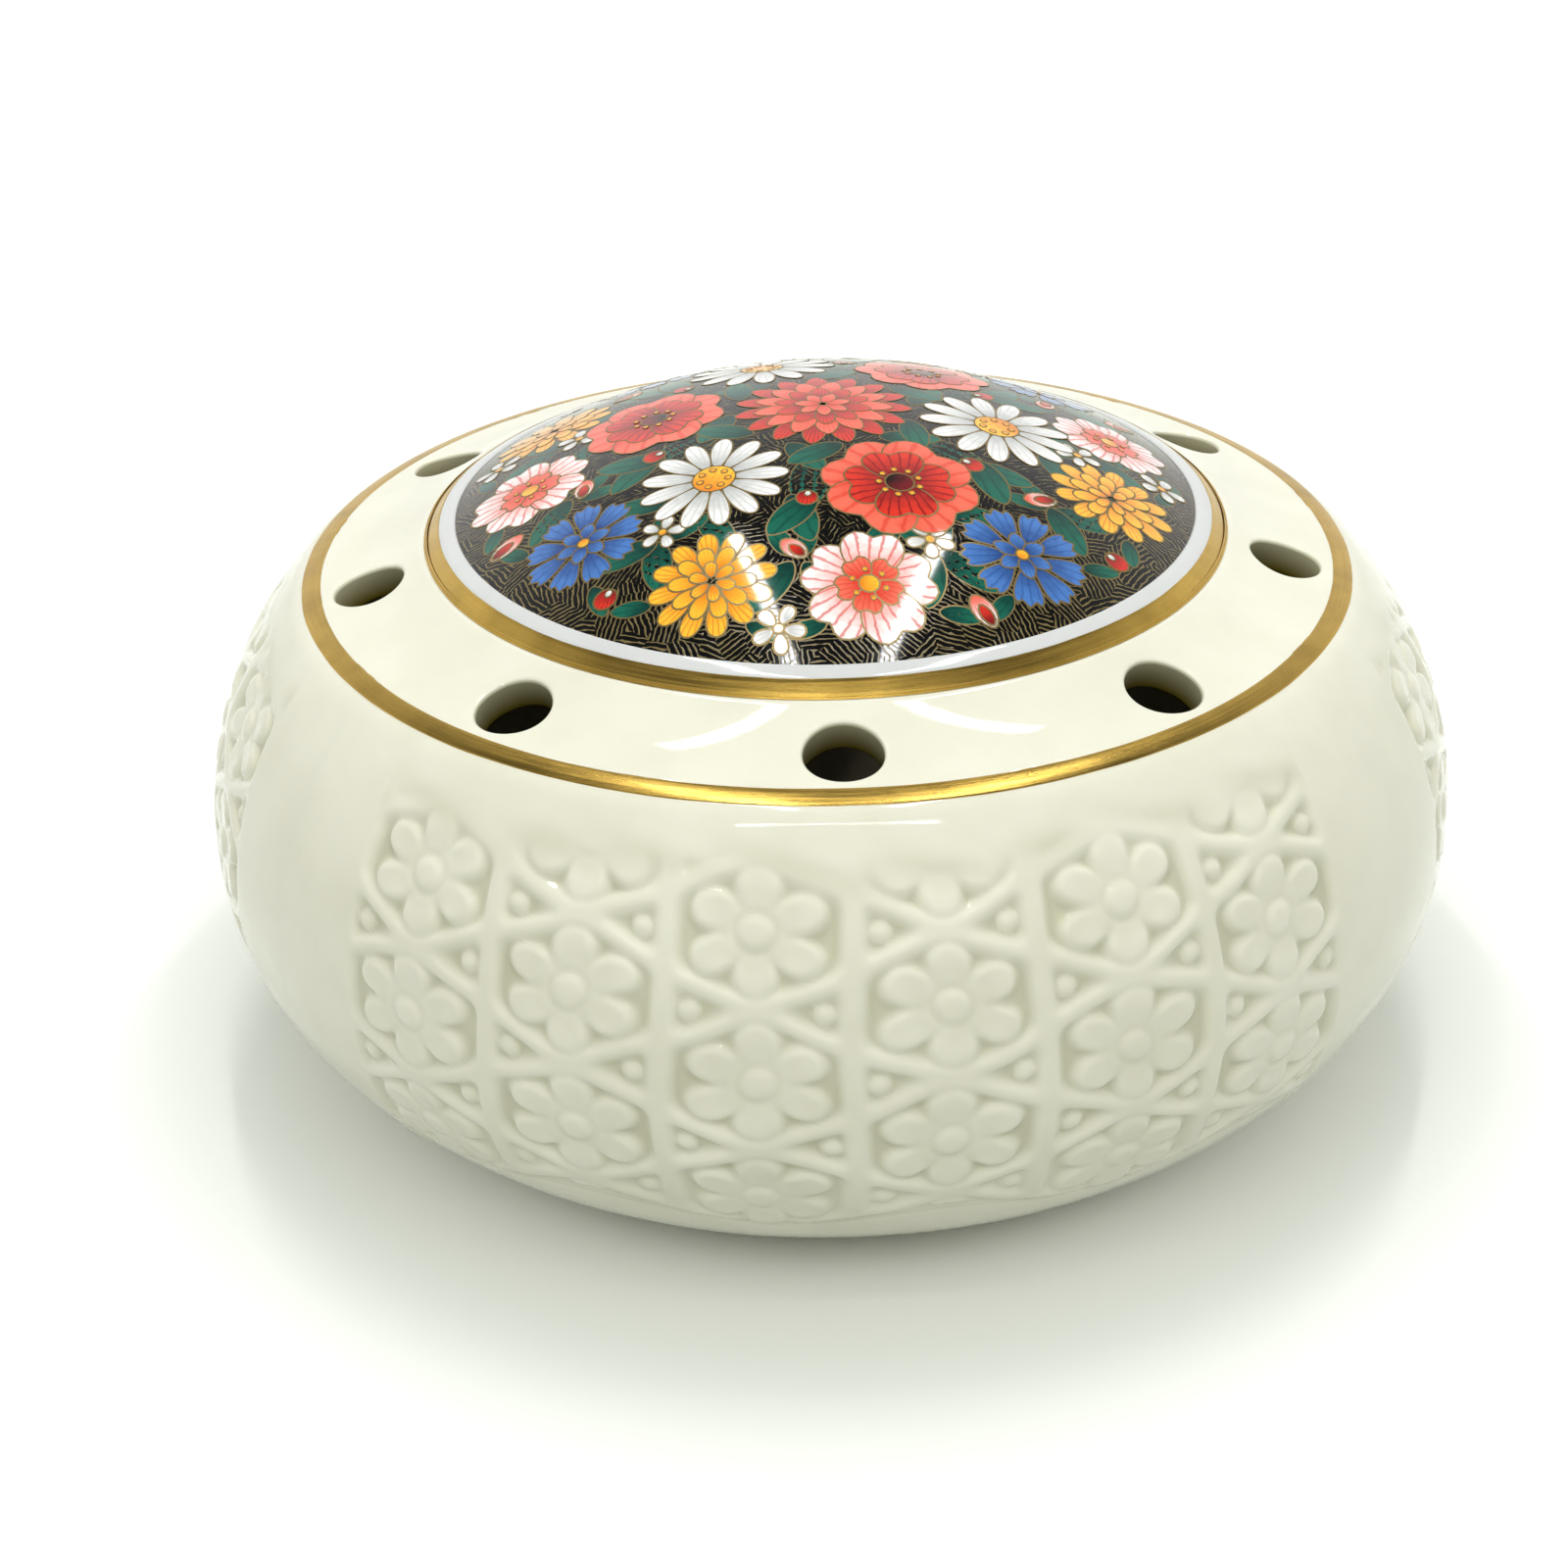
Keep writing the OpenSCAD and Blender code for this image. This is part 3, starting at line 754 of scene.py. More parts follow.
def relief_height(angle, s, columns, width):
    """Height of the relief, 0 on a rib and below 0 elsewhere, and depth of the glaze, s up the side."""
    relief = bpy.context.scene.vase_relief
    step = width / columns
    # The mould was cut by hand, so lines wander by about a quarter of a millimetre
    u = angle / step + (columns - 1) / 2 + 0.012 * np.sin(s / (4.1 * MM) + 17 * angle)
    v = (s - relief.row_shift) / relief.row_step + 0.014 * np.sin(29 * angle + s / (9 * MM) + 1)
    pitch = step * side_point(s)[0]
    lean = np.cos(np.arctan2(relief.row_step / 2, pitch))

    def off(x):
        """Distance to the nearest whole number."""
        return np.abs(x - np.round(x))

    def blend(a, b):
        """The lesser of two distances, rounded where they are alike."""
        h = np.clip(0.5 + 0.5 * (b - a) / relief.rib_round, 0, 1)
        return b + (a - b) * h - relief.rib_round * h * (1 - h)

    # Ribs: upright between the columns, and two families that slope across
    upright = off(u + 0.5) * pitch - relief.upright_half
    slope_a = off(v + u / 2 + 0.5) * relief.row_step * lean - relief.slope_half
    slope_b = off(v - u / 2 + 0.5) * relief.row_step * lean - relief.slope_half
    height = ease(-0.1 * MM, relief.rib_round, -blend(blend(upright, slope_a), slope_b))
    # The flower of this cell: even columns have it on whole rows, odd ones half a row off
    column = np.round(u)
    odd = np.abs(column) % 2 / 2
    x = (u - column) * pitch
    y = (v - odd - np.round(v - odd)) * relief.row_step
    flower_x, flower_y = x / (relief.flower_share * pitch), y / relief.flower_height
    # Each of its six petals is a bar with round ends, in shares of half the flower's size
    inside, second_petal = np.full_like(height, -1), np.full_like(height, -1)
    for k in range(6):
        way = math.pi / 2 + k * math.pi / 3
        c, d = math.cos(way), math.sin(way)
        along, across = flower_x * c + flower_y * d, flower_y * c - flower_x * d
        petal = 0.325 - np.hypot(along - np.clip(along, 0.2, 0.62), across)
        second_petal = np.maximum(second_petal, np.minimum(inside, petal))
        inside = np.maximum(inside, petal)
    # The petals share a dished field, turn up to a lip at their ends and part at a crease
    out = np.hypot(flower_x, flower_y)
    crease = np.exp(-((inside - second_petal) / 0.1) ** 2) * ease(0.26, 0.42, out)
    field = 0.72 + 0.24 * ease(0.4, 0.72, out) - 0.26 * crease
    lip = 0.1 * np.exp(-((inside - 0.11) / 0.06) ** 2)
    height = np.maximum(height, (field + lip) * ease(-0.03, 0.13, inside))
    # A groove runs round the button in the middle
    near = np.hypot(x, y)
    height -= 0.22 * np.exp(-((near - 1.18 * relief.button_radius) / (0.3 * MM)) ** 2)
    height = np.maximum(height, 0.5 + 0.5 * dome(relief.button_radius - near, 0.45 * relief.button_radius)
                        - 9 * (near > relief.button_radius))
    # The bead of the triangle beside the cell, in the middle of its round
    half, rise = pitch / 2, relief.row_step / 4
    inner = rise * half / (rise + np.hypot(half, rise))
    bead_u = np.sign(u - column) * (0.5 - inner / pitch)
    other = 0.5 - odd
    bead_y = (v - other - np.round(v - other)) * relief.row_step
    bead = np.hypot((u - column - bead_u) * pitch, bead_y)
    height = np.maximum(height, 0.85 * dome(relief.bead_radius - bead, relief.bead_radius))
    # The lattice melts into the plain shoulder, and ends in a wavy line below
    waver = 0.6 * MM * np.sin(angle * 9 + 0.7) + 0.5 * MM * np.sin(angle * 23 + 2)
    top = 1 - ease(19.6 * MM, 24 * MM, s + waver)
    wave = -14.9 * MM - 1.7 * MM * np.cos(math.pi * u)
    foot = (0.6 + 0.4 * ease(-13 * MM, -6 * MM, s)) * ease(-0.3 * MM, 0.3 * MM, s - wave)
    sides = ease(0, 0.4 * MM, (width / 2 - np.abs(angle)) * bpy.context.scene.vase_bowl.body_radius)
    carved = (np.clip(height, 0, 1) - 1) * top * foot * sides
    # Below that line the side lies a step lower, with a second line that leaves it under the odd columns
    step_in = (1 - ease(-0.2 * MM, 0.2 * MM, s - wave)) * ease(-33 * MM, -20 * MM, s)
    second = wave - 0.55 * MM * (1 - np.cos(math.pi * u))
    lines = np.exp(-((s - wave + 0.25 * MM) / (0.2 * MM)) ** 2)
    lines += 0.6 * np.exp(-((s - second) / (0.25 * MM)) ** 2)
    # Glaze gathers in a cloudy strip where the lattice melts away
    cloudy = 0.4 * np.exp(-((s + waver - 23 * MM) / (1.6 * MM)) ** 2)
    cloudy *= 0.6 + 0.4 * np.sin(angle * 31 + s / MM)
    sunk = carved - (0.22 * step_in + 0.25 * lines) * sides
    glaze_pool_and_vent_shade = np.clip(0.85 * np.clip(-carved, 0, 1) ** 2 + cloudy * sides, 0, 1)
    return sunk, glaze_pool_and_vent_shade + 0.6 * np.clip(lines, 0, 1) * sides


class VASE_OT_relief(bpy.types.Operator):
    """Models the outer side in three pieces and carves the flowered lattice in them"""
    bl_idname = "vase.relief"
    bl_label = "Relief panels"

    def execute(self, context):
        bowl, relief = context.scene.vase_bowl, context.scene.vase_relief
        material = bpy.data.materials["ivory_glazed_porcelain"]
        side_angle = (2 * math.pi - relief.front_angle - 3 * relief.plain_angle) / 2
        side_turn = relief.front_angle / 2 + relief.plain_angle + side_angle / 2
        corner_s = corner_point()[2]
        top = corner_s - 0.25 * MM
        bottom = -bowl.lower_curve * 1.53
        # Heights of the mesh's rows: close at the rounded corner and on the lattice, wide on the plain parts
        fine = np.arange(LATTICE_TOP, LATTICE_FOOT, -relief.pitch)
        rise = np.concatenate([np.linspace(top, top - 2.6 * MM, 18),
                               np.linspace(top - 3 * MM, LATTICE_TOP, 4)[:-1],
                               fine, np.linspace(fine[-1], bottom, 22)[1:]])
        back = np.linspace(bottom, top, 14)
        panels = (("front", 0, relief.front_columns, relief.front_angle),
                  ("right", side_turn, relief.side_columns, side_angle),
                  ("left", -side_turn, relief.side_columns, side_angle))
        for name, turn_to, columns, width in panels:
            span = width + relief.plain_angle
            outline = side_line(rise) + side_line(back, 1.75 * MM)
            piece = draw_profile("relief_" + name, outline, closed=True)
            sweep(piece, span, round(span * bowl.body_radius / relief.pitch))
            edit(piece)
            bpy.ops.mesh.fill_holes(sides=0)
            bpy.ops.mesh.normals_make_consistent(inside=False)
            deselect()
            places = points_of(piece)
            middle = math.atan2(places[:, 1].mean(), places[:, 0].mean())
            piece.data.transform(Matrix.Rotation(turn_to - math.pi / 2 - middle, 4, "Z"))
            places = points_of(piece)
            r, angle = polar(places)
            angle = (angle - turn_to + math.pi) % (2 * math.pi) - math.pi
            curve = np.where(places[:, 2] >= bowl.belly_height, bowl.upper_curve, bowl.lower_curve)
            reach = r - bowl.body_radius + curve
            lift = places[:, 2] - bowl.belly_height
            s = np.arctan2(lift, reach) * curve
            outer = np.abs(np.hypot(reach, lift) - curve) < 0.05 * MM
            # The outer skin gets the relief and is rounded off at the corner
            sunk, glaze_pool_and_vent_shade = relief_height(angle, s, columns, width)
            # The cast side is a little uneven all round
            whole = angle + turn_to
            uneven = np.sin(11 * whole + s / (5 * MM)) + np.sin(17 * whole - s / (3.7 * MM) + 1)
            uneven += np.sin(5 * whole + s / (8 * MM) + 2)
            push = relief.depth * sunk - 0.012 * MM * (5 + uneven)
            push -= corner_fall(corner_s - s) + TUCK * ease(-0.42 * MM, -0.25 * MM, s - corner_s)
            push = np.where(outer, push, 0)
            out = places[:, :2] / r[:, None]
            places[:, :2] += out * (push * np.cos(s / curve))[:, None]
            places[:, 2] += push * np.sin(s / curve)
            move_points(piece, places)
            set_value(piece, "glaze_pool_and_vent_shade", np.where(outer, glaze_pool_and_vent_shade, 0.0))
            # Glaze softens every edge of the lattice, but not the borders where pieces meet
            edit(piece)
            bpy.ops.mesh.vertices_smooth(factor=0.5, repeat=2)
            deselect()
            soft = points_of(piece)
            held = ~outer | (s > LATTICE_TOP) | (s < LATTICE_FOOT + 0.1 * MM)
            held |= np.abs(angle) > span / 2 - 0.012
            soft[held] = places[held]
            move_points(piece, soft)
            smooth(piece, 65)
            finish_piece(piece, "vase_bowl", "ivory_porcelain", material, "relief_panel_" + name)
        return {"FINISHED"}


# Gilt bands

def band_section(line, film, proud):
    """Closed half section of a film along a line of points, standing a little proud of it."""
    line = np.array(line)
    along = np.gradient(line, axis=0)
    along /= np.linalg.norm(along, axis=1)[:, None]
    normal = np.stack([-along[:, 1], along[:, 0]], 1)
    top = line + normal * proud
    top[0] -= normal[0] * 2 * proud
    top[-1] -= normal[-1] * 2 * proud
    return [tuple(p) for p in top] + [tuple(p) for p in (line - normal * film)[::-1]]


def hand_edges(piece, line, reach, seed):
    """Lets the two edges of a band wander along the surface by reach, as a brush does."""
    places = points_of(piece)
    a = np.arctan2(places[:, 1], places[:, 0])
    r = np.hypot(places[:, 0], places[:, 1])
    draw = random.Random(seed)
    for edge, inward in ((line[0], line[1]), (line[-1], line[-2])):
        way = np.array(edge) - np.array(inward)
        way = way / np.linalg.norm(way)
        wander = sum(np.sin(k * a + draw.uniform(0, 6.3)) / (1 + k / 16) for k in (3, 7, 12, 19, 31, 47))
        near = np.hypot(r - edge[0], places[:, 2] - edge[1]) < 0.08 * MM
        shift = np.where(near, wander * reach / 3, 0)
        places[:, :2] += (places[:, :2] / r[:, None]) * (shift * way[0])[:, None]
        places[:, 2] += shift * way[1]
    move_points(piece, places)


class VASE_OT_gilding(bpy.types.Operator):
    """Models the gilt bands on the shoulder's corner and on the lid's edge"""
    bl_idname = "vase.gilding"
    bl_label = "Gilt bands"

    def execute(self, context):
        bowl, gilding, lid = context.scene.vase_bowl, context.scene.vase_gilding, context.scene.vase_lid
        material = burnished_gold()
        # The shoulder's band: along its top, over the rounded corner and a little way down the side
        corner_r, _, corner_s = corner_point()
        half_arc = bowl.corner_round * (CORNER_REACH - math.sin(HALF_TURN))
        shoulder = [(r, cove_z(r) - corner_fall(corner_r - r))
                    for r in np.linspace(corner_r - gilding.band_width, corner_r - half_arc, 14)]
        shoulder += [side_point(corner_s - gap, corner_fall(gap))
                     for gap in np.linspace(half_arc, gilding.band_drop, 6)[1:]]
        # The lid's band: down its slope and round the edge, with a thin gap left above the seat
        edge = np.array([lid.edge_radius, bowl.seat_height])
        slope = np.array([lid.edge_radius - lid.slope_width, lid.slope_top])
        long = np.linalg.norm(edge - slope)
        roll = 0.3 * MM
        rim = [tuple(slope + (edge - slope) / long * t) for t in np.linspace(0, long - roll, 8)]
        rim += [tuple(edge + np.array(step) * roll) for step in ((-0.12, 0.95), (-0.6, 0.75))]
        bands = (("shoulder_gilding", shoulder, 1.0, 0.09 * MM, 4, "vase_bowl", "shoulder_gilt_band"),
                 ("lid_gilding", rim, 0.8, 0.06 * MM, 9, "vase_lid", "lid_gilt_band"))
        for name, line, share, wander, seed, body, node in bands:
            section = band_section(line, share * gilding.film, gilding.proud)
            piece = spin_round(name, section, 360, closed=True)
            hand_edges(piece, line, wander, seed)
            smooth(piece, 50)
            finish_piece(piece, body, "gilding", material, node)
        return {"FINISHED"}


# Lid

class VASE_OT_lid(bpy.types.Operator):
    """Models the domed lid with its white rim and the ring that centres it in the mouth"""
    bl_idname = "vase.lid"
    bl_label = "Lid"

    def execute(self, context):
        bowl, lid = context.scene.vase_bowl, context.scene.vase_lid
        film = context.scene.vase_gilding.film
        rim = lid.slope_top + lid.rim_rise
        seat = bowl.seat_height + 0.05 * MM
        spigot = bowl.mouth_radius - lid.play
        foot = bowl.seat_height - lid.spigot_depth
        inner = spigot - lid.spigot_width
        turned = 0.5 * MM
        print_r, edge_r, top_z = lid.print_radius, lid.edge_radius, lid.slope_top
        slope_r = edge_r - lid.slope_width
        # Dome under the print, rounded white rim and slope under the gilding
        points = [(r, dome_z(r, film)) for r in np.linspace(0, print_r - 0.25 * MM, 30)]
        points += [(print_r - 0.1 * MM, rim - 0.12 * MM), (print_r + 0.05 * MM, rim - 0.01 * MM),
                   (print_r + 0.6 * MM, rim - 0.16 * MM), (slope_r - 0.5 * MM, top_z + 0.16 * MM),
                   (slope_r - 0.15 * MM, top_z + 0.03 * MM), (slope_r - 0.02 * MM, top_z - 0.1 * MM),
                   (edge_r - 0.35 * MM, seat + 0.2 * MM), (edge_r - 0.5 * MM, seat)]
        # Seat, spigot and hollow underside
        points += [(spigot + turned, seat), (spigot, seat - turned), (spigot, foot + turned)]
        points += arc((spigot - turned, foot + turned), turned, 0, -90, 5)[1:]
        points += arc((inner + turned, foot + turned), turned, -90, -180, 5)
        points += [(r, dome_z(r, lid.wall)) for r in np.linspace(inner, 0, 24)]
        piece = spin_round("lid_shell", points, 240)
        smooth(piece, 40)
        finish_piece(piece, "vase_lid", "white_porcelain", white_glaze(), "lid")
        return {"FINISHED"}


# Printed medallion

class VASE_OT_medallion(bpy.types.Operator):
    """Models the black ground of the medallion on the dome"""
    bl_idname = "vase.medallion"
    bl_label = "Medallion ground"

    def execute(self, context):
        lid = context.scene.vase_lid
        film = context.scene.vase_gilding.film
        edge = lid.print_radius - 0.05 * MM
        points = [(r, dome_z(r, SINK)) for r in np.linspace(0, edge, 42)]
        points += [(r, dome_z(r, film - 0.03 * MM)) for r in np.linspace(edge, 0, 14)]
        piece = spin_round("medallion_ground", points, 240)
        smooth(piece, 40)
        finish_piece(piece, "vase_lid", "printed_enamel", black_print(), "lid_medallion")
        return {"FINISHED"}


def petal_outline(kind, t):
    """Place across (-1 to 1) and along (0 to 1) of a petal's outline, at angle t from its base."""
    along, across = 0.5 - 0.5 * math.cos(t), math.sin(t)
    if kind == "pointed":
        across = math.copysign(abs(across) ** 1.25, across) * (1.05 - 0.1 * along)
    elif kind == "heart":
        across *= 0.72 + 0.42 * along
        along -= 0.16 * math.exp(-(across / 0.3) ** 2) * max(0, along - 0.5) * 2
    elif kind == "fan":
        across = math.copysign(abs(across) ** 0.8, across) * (0.25 + 0.85 * along)
        along -= 0.07 * (1 - math.cos(3 * math.pi * across)) * max(0, along - 0.6) * 2.5
    elif kind == "round":
        across *= 0.7 + 0.42 * along
    return across, along


def petal_model(name, kind, size, wide, materials, points, cuts):
    """One flat petal with its base at the origin: a filled circle, shaped, outlined and subdivided."""
    outline = bpy.context.scene.vase_print.outline
    deselect()
    bpy.ops.mesh.primitive_circle_add(vertices=points, radius=size / 2, fill_type="NGON")
    piece = named(name)
    edit(piece, "FACE")
    bm = bmesh.from_edit_mesh(piece.data)
    for vertex in bm.verts:
        across, along = petal_outline(kind, math.atan2(vertex.co.x, -vertex.co.y))
        vertex.co = (across * wide / 2, along * size, 0)
    bmesh.update_edit_mesh(piece.data)
    bpy.ops.mesh.inset(thickness=min(outline, 0.16 * wide), depth=0)
    bm = bmesh.from_edit_mesh(piece.data)
    for face in bm.faces:
        face.material_index = 1 if face.select else 0
    bmesh.update_edit_mesh(piece.data)
    bpy.ops.mesh.quads_convert_to_tris(ngon_method="BEAUTY")
    if cuts:
        bpy.ops.mesh.subdivide(number_cuts=cuts)
    deselect()
    for material in materials:
        piece.data.materials.append(material)
    attribute = piece.data.attributes.new("petal", "FLOAT_VECTOR", "POINT")
    flat = points_of(piece) / (wide / 2, size, 1)
    attribute.data.foreach_set("vector", flat.ravel())
    return piece


def lay_on_dome(piece):
    """Moves a flat print up onto the dome's ground."""
    places = points_of(piece)
    places[:, 2] += dome_z(np.hypot(places[:, 0], places[:, 1]), SINK)
    move_points(piece, places)


class VASE_OT_print(bpy.types.Operator):
    """Models the printed garland: blossoms, leaves and berries in rings on the medallion"""
    bl_idname = "vase.garland"
    bl_label = "Printed garland"

    def execute(self, context):
        prints = context.scene.vase_print
        gold = gold_print()
        # Inks: colour at a petal's base, at its tip and of its veins, number of veins and their strength
        inks = {
            "red": (prints.dark_red, prints.red, prints.dark_red, 7, 0.75),
            "coral": (prints.red, prints.coral, prints.red, 6, 0.6),
            "blush": (prints.coral, prints.white, prints.red, 6, 0.7),
            "orange": (prints.orange, prints.yellow, prints.red, 5, 0.55),
            "white": (prints.grey, prints.white, prints.grey, 4, 0.5),
            "blue": (prints.dark_blue, prints.blue, prints.dark_blue, 5, 0.4),
            "green": (prints.dark_green, prints.green, prints.dark_green, 3, 0.5),
            "yellow": (prints.orange, prints.yellow, prints.orange, 6, 0.4),
            "dark": (prints.ground, prints.dark_red, prints.ground, 6, 0.5),
        }
        ink = {name: petal_print(name + "_printed_enamel", *looks) for name, looks in inks.items()}
        # Rings of petals of each blossom, in millimetres: count, length, width, distance from the middle,
        # shape, ink
        blossoms = {
            "dahlia": ((15, 5.4, 2.7, 4.0, "pointed", "red"), (13, 5.0, 2.6, 2.4, "pointed", "coral"),
                       (10, 4.0, 2.3, 1.2, "pointed", "red"), (7, 2.8, 1.7, 0.3, "pointed", "coral")),
            "daisy": ((13, 5.2, 2.2, 1.5, "round", "white"), (1, 4.0, 4.0, -2.0, "disc", "yellow"),
                      (7, 0.7, 0.7, 0.9, "disc", "orange")),
            "poppy": ((4, 6.6, 8.6, 0.1, "heart", "coral"), (4, 4.6, 5.6, 0.2, "heart", "red"),
                      (1, 2.6, 2.6, -1.3, "disc", "dark"), (9, 0.6, 0.6, 1.4, "disc", "yellow")),
            "rose": ((5, 5.2, 5.4, 0.4, "heart", "blush"), (5, 2.6, 2.6, 0.3, "heart", "coral"),
                     (1, 1.8, 1.8, -0.9, "disc", "yellow"), (6, 0.5, 0.5, 1.1, "disc", "orange")),
            "cornflower": ((9, 4.2, 3.2, 1.0, "fan", "blue"), (6, 2.2, 1.5, 0.2, "pointed", "blue"),
                           (1, 1.2, 1.2, -0.6, "disc", "yellow")),
            "marigold": ((12, 3.4, 2.0, 1.9, "round", "orange"), (10, 2.7, 1.7, 1.0, "round", "yellow"),
                         (6, 1.8, 1.3, 0.3, "round", "orange")),
            "bud": ((1, 3.0, 1.9, -1.5, "pointed", "blush"), (1, 1.9, 1.1, -1.3, "pointed", "red")),
            "berry": ((1, 1.9, 1.9, -0.95, "disc", "red"), (1, 0.7, 0.6, 0.1, "disc", "white")),
            "leaf": ((1, 6.4, 3.0, 0.0, "pointed", "green"),),
            "small_leaf": ((1, 4.2, 2.0, 0.0, "pointed", "green"),),
            "star": ((5, 1.7, 1.3, 0.3, "round", "white"), (1, 0.9, 0.9, -0.45, "disc", "yellow")),
        }
        # Places of the motifs: name, distance from the middle in millimetres, angle and turn from the outward
        # direction in degrees, size, layer
        garland = [("dahlia", 0, 0, 0, 1.0, 5)]
        for k in range(6):
            here = 60 * k + 22
            garland.append((("daisy", "poppy")[k % 2], 17.3, here, 11 * k, 1.13, 5))
            garland += [("leaf", 11.2, here + 30, 4, 1.3, 0), ("leaf", 17.4, here + 27, 30, 1.15, 1),
                        ("leaf", 17.4, here + 33, -30, 1.15, 2), ("berry", 18.2, here + 30, 0, 1.3, 3),
                        ("leaf", 22.0, here + 6, 52, 0.95, 0), ("leaf", 22.0, here - 6, -52, 0.95, 1),
                        ("leaf", 9.0, here + 12, 62, 1.0, 2), ("leaf", 9.0, here - 12, -62, 1.0, 3)]
        for k in range(12):
            here = 30 * k + 7
            garland.append((("rose", "cornflower", "marigold")[k % 3], 29.8, here, 17 * k, 1.17, 2))
            garland += [("leaf", 26.8, here + 15, 32, 1.05, 0), ("leaf", 26.8, here + 15, -34, 1.05, 1),
                        (("bud", "berry", "star")[k % 3], 34.2, here + 15, 10, 1.35, 3),
                        ("leaf", 26.4, here + 15, 160, 0.7, 0), ("leaf", 26.4, here + 15, 205, 0.7, 1),
                        ("small_leaf", 33.6, here + 9, 66, 1.0, 0),
                        ("small_leaf", 33.6, here - 9, -66, 1.0, 1),
                        (("star", "bud")[k % 2], 25.4, here + 15, 60, 1.2, 3)]
        draw = random.Random(12)
        models, groups = {}, {}
        for motif, reach, here, twist, size, layer in garland:
            at = Matrix.Rotation(math.radians(here + draw.uniform(-2, 2)), 4, "Z") \
                @ Matrix.Translation((0, (reach + draw.uniform(-0.3, 0.3)) * MM, 0)) \
                @ Matrix.Rotation(math.radians(twist + draw.uniform(-9, 9)), 4, "Z") \
                @ Matrix.Scale(size * draw.uniform(0.95, 1.05), 4)
            for level, (count, long, wide, off, kind, name) in enumerate(blossoms[motif]):
                key = (motif, level)
                if key not in models:
                    # Large petals need more points to follow the dome
                    points, cuts = 24 if long > 3 else 14, 2 if long > 3 else 1 if long > 1.5 else 0
                    models[key] = petal_model("petal_" + motif, kind, long * MM, wide * MM,
                                              (gold, ink[name]), points, cuts)
                for k in range(count):
                    # Neighbours overlap, so they take turns in height, the last of an odd count highest
                    shade = 2 if count % 2 and k == count - 1 and k else k % 2
                    lift = (layer + level * 3 + shade) * LAYER
                    spot = at @ Matrix.Rotation(2 * math.pi * (k + 0.5 * (level % 2)) / count, 4, "Z") \
                        @ Matrix.Translation((0, off * MM, lift))
                    groups.setdefault(motif, []).append(copy_of(models[key], "petal_copy", spot))
        for model in models.values():
            bpy.data.objects.remove(model)
        for motif, petals in groups.items():
            piece = join(petals, "print_" + motif)
            lay_on_dome(piece)
            take(piece)
            solid = piece.modifiers.new("film", "SOLIDIFY")
            solid.thickness = 0.03 * MM
            solid.offset = -1
            bpy.ops.object.modifier_apply(modifier=solid.name)
            smooth(piece, 40)
            finish_piece(piece, "vase_lid", "printed_enamel", None)
        return {"FINISHED"}


# Stage

def seen_ray(tree):
    """1 for rays that the camera, a mirror or glass sends, 0 for the light that falls on the vase."""
    rays = add_node(tree, "LightPath").outputs
    seen = add_node(tree, "Math", {0: rays["Is Camera Ray"], 1: rays["Is Glossy Ray"]}, operation="MAXIMUM")
    return add_node(tree, "Math", {0: seen, 1: rays["Is Transmission Ray"]}, operation="MAXIMUM")


def lay_floor(stage):
    """The pale floor, which keeps the vase's shadow."""
    deselect()
    bpy.ops.mesh.primitive_plane_add(size=6)
    floor = bpy.context.object
    floor.name = "floor"
    material, tree, shader, place = start_material("pale_studio_floor")
    seen = seen_ray(tree)
    # Greyer to the light that bounces up under the vase
    tone = add_node(tree, "Mix", {0: seen, 6: linear("#c6c9c1"), 7: stage.floor}, data_type="RGBA")
    # Painted light: the floor glows white to the camera away from the vase, where the tent's walls would
    # light it
    away = add_node(tree, "VectorMath", {0: place}, operation="LENGTH")
    white = add_node(tree, "MapRange", {"Value": away, 1: 62 * MM, 2: 90 * MM, 3: 0.0, 4: 0.26})
    glow = add_node(tree, "Math", {0: seen, 1: white}, operation="MULTIPLY")
    set_inputs(tree, shader, {"Base Color": tone, "Roughness": 0.9, "Emission Color": stage.floor,
                              "Emission Strength": glow})
    floor.data.materials.append(material)


def set_world(scene):
    """The light tent round the vase."""
    scene.world = bpy.data.worlds.new("studio")
    scene.world.use_nodes = True
    tree = scene.world.node_tree
    way = add_node(tree, "TexCoord").outputs["Generated"]
    axes = add_node(tree, "SeparateXYZ", {0: way}).outputs
    # What polished faces mirror: pale walls, a dark roof between the lamps, the fill
    wall = add_node(tree, "MapRange", {"Value": axes[2], 1: 0.42, 2: 0.82, 3: 0.95, 4: 0.08})
    ahead = add_node(tree, "MapRange", {"Value": axes[1], 1: -0.3, 2: -0.62})
    mirror = add_node(tree, "MapRange", {"Value": ahead, 3: wall, 4: 1.1})
    # The light that falls on the vase: from the tent's walls and roof, and a fill above the camera
    tent = add_node(tree, "MapRange", {"Value": axes[2], 1: 0.0, 2: 0.8, 3: 0.48, 4: 0.58})
    roof = add_node(tree, "MapRange", {"Value": axes[2], 1: 0.72, 2: 0.86, 3: 3.0, 4: 0.6})
    fill = add_node(tree, "MapRange", {"Value": axes[2], 1: 0.44, 2: 0.62, 3: 0.06, 4: roof})
    front = add_node(tree, "MapRange", {"Value": axes[1], 1: -0.1, 2: -0.5})
    light = add_node(tree, "MapRange", {"Value": front, 3: tent, 4: fill})
    power = add_node(tree, "MapRange", {"Value": seen_ray(tree), 3: light, 4: mirror})
    set_inputs(tree, tree.nodes["Background"], {"Color": (1, 1, 1, 1), "Strength": power})


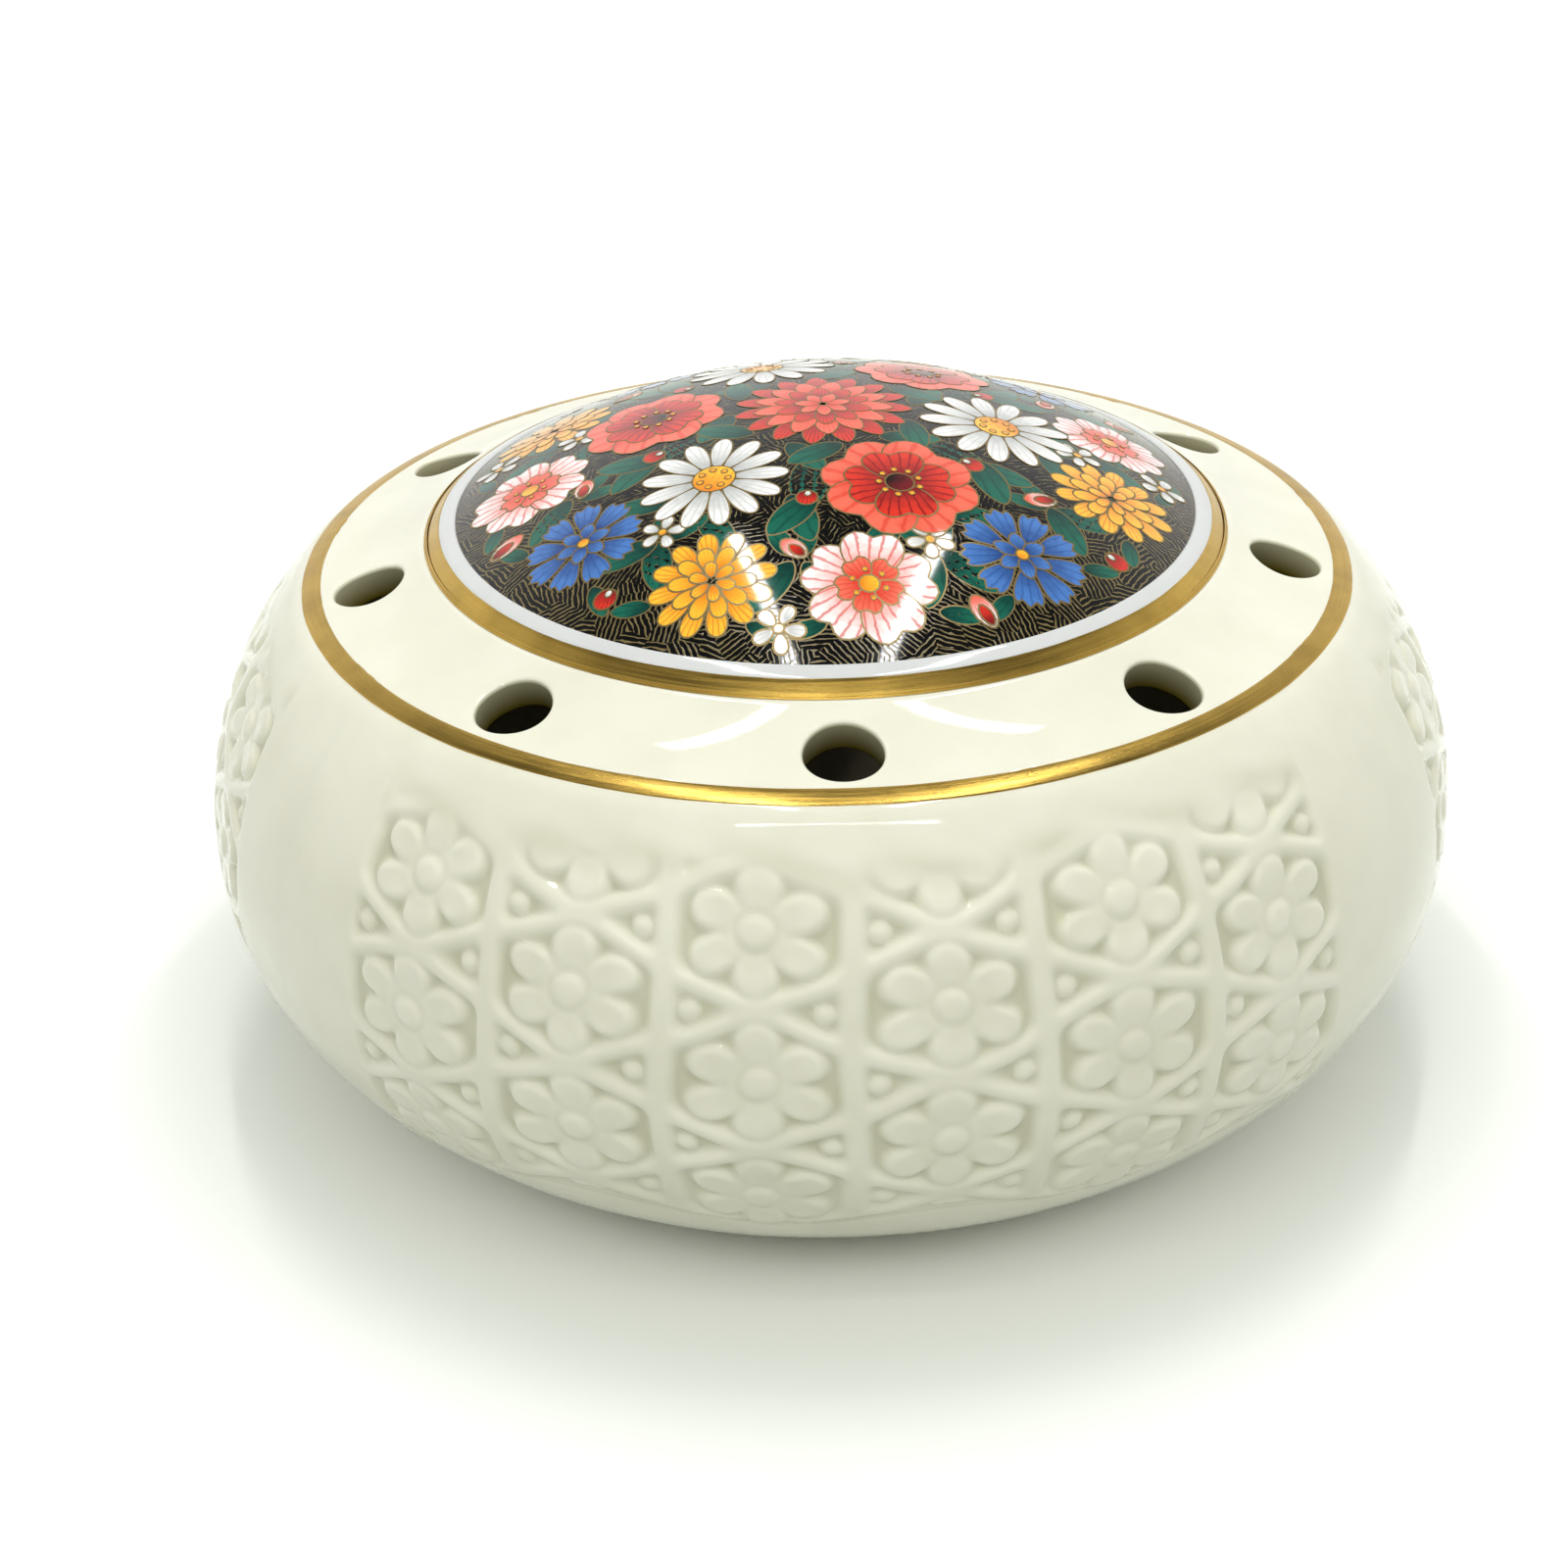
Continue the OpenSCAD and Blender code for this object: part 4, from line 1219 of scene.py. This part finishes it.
def hang_lamps():
    """Rows of small lamps in the tent's roof, whose reflections show on the glaze."""
    # Name, place, width and length in millimetres, turn in degrees, power in watts
    lamps = (("strip_left", (-53, 67, 400), 13, 236, 12, 0.27),
             ("strip_right", (82, 70, 400), 13, 236, -17, 0.27),
             ("strip_front", (0, -250, 400), 6, 230, 90, 0.08))
    # One small lamp every 5.3 mm along a row
    spacing = 5.3
    for name, place, wide, long, degrees, watts in lamps:
        bpy.ops.object.light_add(type="AREA", location=Vector(place) * MM,
                                 rotation=(0, 0, math.radians(degrees)))
        lamp = bpy.context.object
        lamp.name = name
        lamp.data.shape = "RECTANGLE"
        lamp.data.size, lamp.data.size_y = wide * MM, long * MM
        lamp.data.energy = watts
        lamp.data.use_nodes = True
        tree = lamp.data.node_tree
        spot = add_node(tree, "NewGeometry").outputs["Parametric"]
        along = add_node(tree, "SeparateXYZ", {0: spot}).outputs
        row = add_node(tree, "Math", {0: along[1], 1: 2 * math.pi * long / spacing}, operation="MULTIPLY")
        wave = add_node(tree, "Math", {0: row}, operation="SINE")
        lit = add_node(tree, "MapRange", {"Value": wave, 1: -0.3, 2: 0.1, 3: 0.2, 4: 1.6})
        set_inputs(tree, tree.nodes["Emission"], {"Strength": lit})


def set_camera(scene):
    """The camera at the photograph's viewing angle."""
    stage = scene.vase_stage
    back = Vector((0, -math.cos(stage.elevation), math.sin(stage.elevation)))
    round_vase = Matrix.Rotation(stage.azimuth, 4, "Z")
    bpy.ops.object.camera_add(location=round_vase @ (Vector(stage.target) + back * stage.distance))
    camera = bpy.context.object
    aim = Matrix.Rotation(math.pi / 2 - stage.elevation, 4, "X") @ Matrix.Rotation(stage.roll, 4, "Z")
    camera.rotation_euler = (round_vase @ aim).to_euler()
    camera.data.lens = stage.lens
    camera.data.sensor_width = 36
    camera.data.clip_start = 0.01
    scene.camera = camera


class VASE_OT_stage(bpy.types.Operator):
    """Sets the pale floor, the soft studio light and the camera"""
    bl_idname = "vase.stage"
    bl_label = "Stage"

    def execute(self, context):
        lay_floor(context.scene.vase_stage)
        set_world(context.scene)
        hang_lamps()
        set_camera(context.scene)
        context.scene.view_settings.view_transform = "Standard"
        return {"FINISHED"}


OPERATORS = (VASE_OT_bowl, VASE_OT_relief, VASE_OT_gilding, VASE_OT_lid, VASE_OT_medallion, VASE_OT_print,
             VASE_OT_stage)
SETTINGS = {"vase_bowl": BowlSettings, "vase_relief": ReliefSettings, "vase_gilding": GildingSettings,
            "vase_lid": LidSettings, "vase_print": PrintSettings, "vase_stage": StageSettings}


class VASE_PT_vase(bpy.types.Panel):
    """Lists the vase's pieces and their settings"""
    bl_label = "Potpourri Vase"
    bl_space_type = "VIEW_3D"
    bl_region_type = "UI"
    bl_category = "Vase"

    def draw(self, context):
        for operator in OPERATORS:
            self.layout.operator(operator.bl_idname)
        for name, group in SETTINGS.items():
            box = self.layout.box()
            box.label(text=group.__doc__)
            for key in group.__annotations__:
                box.prop(getattr(context.scene, name), key)


def register():
    for group in SETTINGS.values():
        bpy.utils.register_class(group)
    for name, group in SETTINGS.items():
        setattr(bpy.types.Scene, name, PointerProperty(type=group))
    for entry in OPERATORS + (VASE_PT_vase,):
        bpy.utils.register_class(entry)


def unregister():
    for entry in reversed(OPERATORS + (VASE_PT_vase,)):
        bpy.utils.unregister_class(entry)
    for name, group in SETTINGS.items():
        delattr(bpy.types.Scene, name)
        bpy.utils.unregister_class(group)


def main():
    register()
    bpy.ops.vase.stage()
    bpy.ops.vase.bowl()
    bpy.ops.vase.relief()
    bpy.ops.vase.gilding()
    bpy.ops.vase.lid()
    bpy.ops.vase.medallion()
    bpy.ops.vase.garland()
    deselect()


if __name__ == "__main__":
    main()
